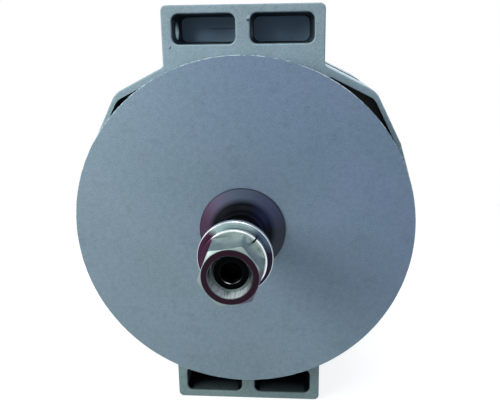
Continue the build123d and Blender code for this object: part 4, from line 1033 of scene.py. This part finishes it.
class ALTERNATOR_OT_washers(bpy.types.Operator):
    """Build the split lock washer and the flat washer"""

    bl_idname = "alternator.washers"
    bl_label = "Washers"

    def execute(self, context):
        look = context.scene.nut_look
        self.flat_washer(look)
        self.lock_washer(look)
        return {"FINISHED"}

    def flat_washer(self, look):
        """The flat washer: a turned disc with a chamfered edge that carries a painted highlight.
        """
        front, back = ends("flat_washer")
        outer, bore = high("flat_washer").x, look.washer_bore
        chamfer = 0.3 * MM
        shape = lathe(rounded((
            (bore, front, 0.2 * MM), (outer - chamfer, front, 0.1 * MM),
            (outer, front + chamfer, 0.1 * MM), (outer, back, 0.2 * MM),
            (bore, back, 0.2 * MM)), steps=3), segments=144, loop=True)
        dressed("flat_washer_turned", shape, self.turned_face(look, outer),
                "pulley_fasteners", "zinc_steel", "flat_washer")

    def turned_face(self, look, outer):
        """Turned steel with painted reflections: a bright wedge above, slate on the right, plum
        on the left.
        """
        finish = turned("washer_steel", look.zinc_dull, 0.3 * MM, metallic=0.9,
                        roughness=0.3)
        bright = finish.mixed(0.75, finish.colour, look.washer_bright)
        wedge = finish.product(finish.swept(48, 64), finish.swept(136, 122))
        # Painted reflections of the turned face: dark below, slate above, plum left, a bright
        # wedge on top.
        finish.base(finish.swept(8, 30), look.washer_dark_reflection, look.washer_right_reflection)
        finish.paint(finish.ramp(finish.x, -8.0, -11.0), look.washer_left_reflection)
        finish.paint(wedge, bright)
        # Painted highlight on the washer's edge.
        finish.paint(finish.beyond(outer, -0.35, -0.2), look.washer_highlight)
        return finish

    def lock_washer(self, look):
        """The lock washer: a square section carried round to a slanted split."""
        front, back = ends("lock_washer")
        middle = (front + back) / 2
        spans, bend = 140, 0.4 * MM
        section = rounded((
            (look.washer_bore, front, bend), (look.lock_outer, front, bend),
            (look.lock_outer, back, bend), (look.washer_bore, back, bend)), steps=3)
        rows = []
        for k in range(spans + 1):
            row = []
            for radius, station in section:
                gap = look.split_width / math.cos(look.split_lean) / radius
                slant = (middle - station) * math.tan(look.split_lean) / radius
                angle = look.split + slant + gap / 2 + (FULL_TURN - gap) * k / spans
                row.append((radius * math.cos(angle), station, radius * math.sin(angle)))
            rows.append(row)
        dressed("lock_washer_sprung", skin(rows), self.sprung(look, front),
                "pulley_fasteners", "dark_steel", "lock_washer")

    def sprung(self, look, front):
        """Plated steel: painted highlight on the front rim, painted shadow line behind, plum
        reflection at left.
        """
        finish = plated("lock_washer_steel", look.zinc, look.zinc_dull, 0.25)
        behind = finish.past(front, 1.9, 2.3)
        rim = finish.beyond(look.lock_outer, -0.8, -0.5)
        line = finish.product(behind, finish.past(front, 3.4, 4.2, 1.0, 0.25),
                              finish.swept(30, 42), finish.swept(120, 96))
        # Painted highlight on the front of the rim, then a painted shadow line, and painted
        # reflection at left.
        finish.paint(finish.product(rim, finish.maths("SUBTRACT", 1.0, behind)),
                     (0.86, 0.9, 0.93))
        finish.paint(line, look.washer_shadow_line)
        finish.paint(finish.ramp(finish.x, -7.5, -11.0), look.washer_left_reflection)
        return finish


class ALTERNATOR_OT_stator(bpy.types.Operator):
    """Finish the stator: its sheets and its windings"""

    bl_idname = "alternator.stator"
    bl_label = "Stator"

    def execute(self, context):
        sheets = laminated("lamination_steel")
        coat(sheets, "stator_core")
        coat(enamelled("enamelled_copper"), "stator_winding", "field_coil")
        front, back = ends("stator_core")
        core = high("stator_core").x
        pitch = 1.0 * MM
        inner, outer = core - 0.4 * MM, core + 0.12 * MM
        start, end = front + 0.2 * pitch, front + 0.8 * pitch
        edge = lathe(((inner, start), (outer, start), (outer, end), (inner, end)),
                     segments=180, loop=True)
        dressed("stator_sheet_edges", edge, sheets, "housing", "lamination_steel",
                count=round((back - front) / pitch) - 1, shift=(0.0, pitch, 0.0))
        return {"FINISHED"}


class ALTERNATOR_OT_bolts(bpy.types.Operator):
    """Build the through bolts and the screws of the rear cover"""

    bl_idname = "alternator.bolts"
    bl_label = "Bolts and screws"

    def execute(self, context):
        look = context.scene.nut_look
        zinc = plated("bolt_zinc", look.zinc, look.zinc_dull, 0.3)
        coat(zinc, "field_core_screws", "retainer_screws", "rectifier_screws",
             "regulator_screws", "bearing_retainer")
        self.through_bolts(zinc)
        self.cover_screws(zinc)
        return {"FINISHED"}

    def through_bolts(self, zinc):
        """Four hex bolts with washers, through the lugs."""
        front, back = ends("through_bolts")
        segments = 48
        circle, shank, washer, flats = 97.2, 3.2, 6.4, 11.1
        seat = back - 6.2 * MM
        outline = hexagon(flats, flats / math.sqrt(3) - 0.15, segments)
        drop = 0.5 * np.maximum(outline - 0.49 * flats, 0.0)
        rings = at(front, (0, 0), (shank - 0.6, 0), (shank, 0.6))
        rings += at(seat, (shank, 0), (washer - 0.2, 0), (washer, 0.15), (washer, 1.05),
                    (washer - 0.2, 1.2), (0.99 * outline, 1.2), (outline, 1.3))
        rings += at(back, (outline, -drop - 0.1), (outline - 0.08, -drop),
                    (0.48 * flats, 0), (0, 0))
        self.four(lathe(rings, segments), "through_bolt_heads", circle, zinc,
                  math.radians(45), "through_bolts")

    def cover_screws(self, zinc):
        """Four pan screws with six-lobed recesses, in the ears of the rear cover."""
        front, back = ends("cover_screws")
        segments = 48
        circle, shank, head = 93.0, 2.5, 4.2
        seat = back - 3.0 * MM
        lobes = 1.75 + 0.22 * np.cos(6 * ring_angles(segments))
        rings = at(front, (0, 0), (shank - 0.5, 0), (shank, 0.5))
        rings += at(seat, (shank, 0), (head - 0.2, 0), (head, 0.2), (head - 0.05, 1.4))
        rings += at(back, (head - 0.4, -0.6), (head - 1.2, -0.15), (lobes + 0.2, 0),
                    (lobes, -0.12), (0.96 * lobes, -1.6), (0, -1.9))
        self.four(lathe(rings, segments), "cover_pan_screws", circle, zinc, 0.0,
                  "cover_screws")

    def four(self, shape, name, circle, finish, first, node):
        """Sets four of a fastener on its circle, whose radius is in millimetres."""
        dressed(name, moved(shape, shift=(circle * MM, 0, 0)), finish, "housing",
                "zinc_steel", node, count=4, first=first)


class ALTERNATOR_OT_rear(bpy.types.Operator):
    """Finish the rear cover and what is under it"""

    bl_idname = "alternator.rear"
    bl_label = "Rear cover and rectifier"

    def execute(self, context):
        coat(painted("cover_paint", srgb(38, 39, 41)), "rear_cover")
        plate = blasted("heat_sink_plate", srgb(176, 180, 184), srgb(160, 164, 168),
                        0.8 * MM, metallic=0.6, roughness=0.42)
        coat(plate, "negative_heat_sink", "positive_heat_sink")
        coat(plated("diode_nickel", srgb(196, 196, 190), srgb(168, 166, 158)), "diodes")
        coat(moulded("regulator_case", srgb(30, 30, 33)), "voltage_regulator")
        coat(moulded("insulator", srgb(26, 26, 27), 0.5), "rectifier_bushes")
        coat(moulded("lead_sleeve", srgb(34, 33, 32), 0.6), "phase_leads")
        return {"FINISHED"}


class ALTERNATOR_OT_terminals(bpy.types.Operator):
    """Build the threaded terminals on the rear cover"""

    bl_idname = "alternator.terminals"
    bl_label = "Terminals"

    # Each terminal's thread radius, thread pitch and nut flats, in millimetres.
    THREADS = {"output": (4.0, 1.25, 13.0), "ground": (3.0, 1.0, 10.0),
               "relay": (2.5, 0.8, 8.0)}

    def execute(self, context):
        look = context.scene.nut_look
        zinc = plated("terminal_zinc", look.zinc, look.zinc_dull, 0.3)
        brass = plated("terminal_brass", srgb(196, 168, 104), srgb(166, 138, 80), 0.3)
        black = moulded("terminal_bush", srgb(28, 28, 30), 0.42)
        self.stud("output", brass, "terminal_brass")
        self.stud("ground", zinc, "zinc_steel")
        self.stud("relay", brass, "terminal_brass")
        for name in self.THREADS:
            self.nut(name, zinc)
        coat(zinc, "output_washer", "ground_washer")
        coat(black, "output_bush", "relay_bush")
        return {"FINISHED"}

    def axis(self, name):
        """Where a terminal's axis stands."""
        middle = (low(f"{name}_nut") + high(f"{name}_nut")) / 2
        return Vector((middle.x, 0, middle.z))

    def stud(self, name, finish, slot):
        """A stud with a rolled thread on its free end."""
        node = f"{name}_stud"
        front, back = ends(node)
        nut_front = low(f"{name}_nut").y
        head = (high(node).x - low(node).x) / 2
        segments = 40
        radius, pitch, _ = (size * MM for size in self.THREADS[name])
        shank = radius - 0.3 * MM
        shank_front = front
        rings = [(0.0, front)]
        if head > 1.2 * radius:
            shank_front = front + 4.0 * MM
            rings += [(head - 0.3 * MM, front), (head, front + 0.3 * MM),
                      (head, shank_front - 0.3 * MM), (head - 0.3 * MM, shank_front)]
        rings += [(shank, shank_front), (shank, nut_front - 0.5 * MM)]
        rings += thread(radius, 0.5 * pitch, pitch, nut_front - 0.4 * MM, back - 0.6 * MM,
                        segments)
        rings += [(radius - 0.6 * MM, back), (0.0, back)]
        dressed(f"{node}_threaded", moved(lathe(rings, segments), shift=self.axis(name)),
                finish, "housing", slot, node)

    def nut(self, name, finish):
        """A chamfered hex nut."""
        node = f"{name}_nut"
        front, back = ends(node)
        segments = 72
        radius, _, flats = (size * MM for size in self.THREADS[name])
        bore = radius - 0.25 * MM
        rings = nut_rings(flats, 0.12 * MM, flats / 2 - 0.1 * MM, front, back, segments)
        rings += [(bore + 0.5 * MM, back), (bore, back - 0.5 * MM), (bore, front + 0.5 * MM),
                  (bore + 0.5 * MM, front)]
        shape = moved(lathe(rings, segments, loop=True), -math.pi / 6, self.axis(name))
        dressed(f"{node}_plated", shape, finish, "housing", "zinc_steel", node)


class ALTERNATOR_OT_inside(bpy.types.Operator):
    """Finish the rotor, the field and the bearings"""

    bl_idname = "alternator.inside"
    bl_label = "Rotor and bearings"

    def execute(self, context):
        poles = forged("pole_steel", srgb(112, 112, 114), srgb(74, 72, 72))
        coat(poles, "front_pole", "rear_pole", "field_core")
        coat(turned("ring_steel", srgb(176, 174, 168), 0.4 * MM), "pole_ring")
        ground = turned("bearing_steel", srgb(192, 194, 196), 0.15 * MM, roughness=0.16)
        coat(ground, "front_bearing_inner_race", "front_bearing_outer_race",
             "rear_bearing_inner_race", "rear_bearing_outer_race", "front_bearing_balls",
             "rear_bearing_rollers")
        brass = turned("cage_brass", srgb(196, 162, 92), 0.3 * MM, roughness=0.3)
        coat(brass, "front_bearing_cage", "rear_bearing_cage")
        coat(moulded("bearing_seal", srgb(30, 29, 29), 0.55), "front_bearing_seals")
        return {"FINISHED"}


class ALTERNATOR_OT_stage(bpy.types.Operator):
    """Set the floor, the lamps, the background and the camera"""

    bl_idname = "alternator.stage"
    bl_label = "Stage"

    # Each soft box: name, place, size in metres, power in watts and colour.
    LAMPS = (("key_box", (-0.62, -0.48, 0.36), 0.5, 5.6, (0.97, 1.0, 0.96)),
             ("top_box", (0.1, -0.3, 1.2), 0.8, 6.0, (0.94, 0.97, 1.0)),
             ("right_box", (1.2, -0.7, 0.6), 0.8, 1.5, (0.88, 0.93, 1.0)),
             ("rear_box", (0.4, 1.4, 0.8), 0.9, 7.0, WHITE))

    def execute(self, context):
        look = context.scene.stage_look
        self.floor(look)
        self.world()
        self.lamps()
        self.camera(look)
        context.scene.view_settings.view_transform = "Standard"
        return {"FINISHED"}

    def floor(self, look):
        """A pale floor under the wings, whitened where it is seen."""
        level, reach = cad_box[0].z, 6.0
        mesh = bpy.data.meshes.new("floor")
        mesh.from_pydata([(-reach, -reach, level), (reach, -reach, level),
                          (reach, reach, level), (-reach, reach, level)], [], [(0, 1, 2, 3)])
        finish = Finish("floor_paper", roughness=0.9)
        fibres = finish.between(finish.noise(4 * MM, detail=2), 0.3, 0.7)
        paper = finish.mixed(fibres, look.floor_tone, shaded(look.floor_tone, 0.985))
        far = finish.between(finish.diagonal(finish.x, finish.y), 0.2, 0.6)
        finish.base(far, paper, BLACK)
        finish.set("Emission Color", WHITE)
        finish.set("Emission Strength", finish.product(finish.seen_white(),
                                                       finish.slide(far, 0.82, 1.0)))
        finish.set("Specular IOR Level", 0.0)
        linked("floor", coated(mesh, finish))

    def world(self):
        """Soft light all round, white where it is seen."""
        world = bpy.data.worlds.new("studio")
        world.use_nodes = True
        bpy.context.scene.world = world
        nodes = Nodes(world.node_tree)
        light = nodes.tree.nodes["Background"]
        nodes.put(light.inputs["Color"], (0.54, 0.64, 0.78))
        nodes.put(light.inputs["Strength"], 0.27)
        white = nodes.node("ShaderNodeBackground", {"Color": WHITE, "Strength": 1.0})
        mix = nodes.node("ShaderNodeMixShader", {
            0: nodes.seen_white(), 1: light.outputs[0], 2: white.outputs[0]})
        nodes.put(nodes.tree.nodes["World Output"].inputs["Surface"], mix.outputs[0])

    def lamps(self):
        """Soft boxes at the front left, above, on the right and behind, aimed at the bell."""
        target = Vector((0, 0.03, 0))
        for name, place, size, power, colour in self.LAMPS:
            lamp = bpy.data.lights.new(name, "AREA")
            lamp.shape = "DISK"
            lamp.size = size
            lamp.energy = power
            lamp.color = colour
            box = linked(name, lamp)
            box.location = place
            aim = target - Vector(place)
            box.rotation_euler = aim.to_track_quat("-Z", "Y").to_euler()

    def camera(self, look):
        """The camera at the photograph's viewing angle."""
        target = Vector((look.target_x, low("fan").y, look.target_z))
        back = Vector((math.sin(look.yaw) * math.cos(look.pitch),
                       -math.cos(look.yaw) * math.cos(look.pitch), math.sin(look.pitch)))
        level_right = Vector((0, 0, 1)).cross(back).normalized()
        level_up = back.cross(level_right)
        right = level_right * math.cos(look.roll) + level_up * math.sin(look.roll)
        up = back.cross(right)
        lens = bpy.data.cameras.new("camera")
        lens.lens = look.lens
        lens.sensor_width = 36.0
        lens.sensor_fit = "HORIZONTAL"
        lens.clip_start = 0.01
        camera = linked("camera", lens)
        pose = Matrix((right, up, back)).transposed().to_4x4()
        pose.translation = target + back * look.distance
        camera.matrix_world = pose
        bpy.context.scene.camera = camera


class ALTERNATOR_PT_panel(bpy.types.Panel):
    """Lists the alternator's looks and the steps that build them"""

    bl_idname = "ALTERNATOR_PT_panel"
    bl_label = "Alternator"
    bl_space_type = "VIEW_3D"
    bl_region_type = "UI"
    bl_category = "Alternator"

    def draw(self, context):
        for step in STEPS:
            self.layout.operator(step.bl_idname)
        for name, group in LOOKS.items():
            box = self.layout.box()
            box.label(text=group.__doc__)
            for item in group.__annotations__:
                box.prop(getattr(context.scene, name), item)


STEPS = (
    ALTERNATOR_OT_stage, ALTERNATOR_OT_castings, ALTERNATOR_OT_fan, ALTERNATOR_OT_collar,
    ALTERNATOR_OT_shaft, ALTERNATOR_OT_nut, ALTERNATOR_OT_washers, ALTERNATOR_OT_stator,
    ALTERNATOR_OT_bolts, ALTERNATOR_OT_rear, ALTERNATOR_OT_terminals, ALTERNATOR_OT_inside,
)


def register():
    """Registers the classes and hangs the looks on the scene."""
    for group in (*LOOKS.values(), *STEPS, ALTERNATOR_PT_panel):
        bpy.utils.register_class(group)
    for name, group in LOOKS.items():
        setattr(bpy.types.Scene, name, PointerProperty(type=group))


def unregister():
    """Takes the looks off the scene and unregisters the classes."""
    for name in LOOKS:
        delattr(bpy.types.Scene, name)
    for group in (ALTERNATOR_PT_panel, *reversed(STEPS), *reversed(LOOKS.values())):
        bpy.utils.unregister_class(group)


def main():
    """Runs every step in order."""
    register()
    for step in STEPS:
        getattr(bpy.ops.alternator, step.bl_idname.split(".")[1])()


if __name__ == "__main__":
    main()
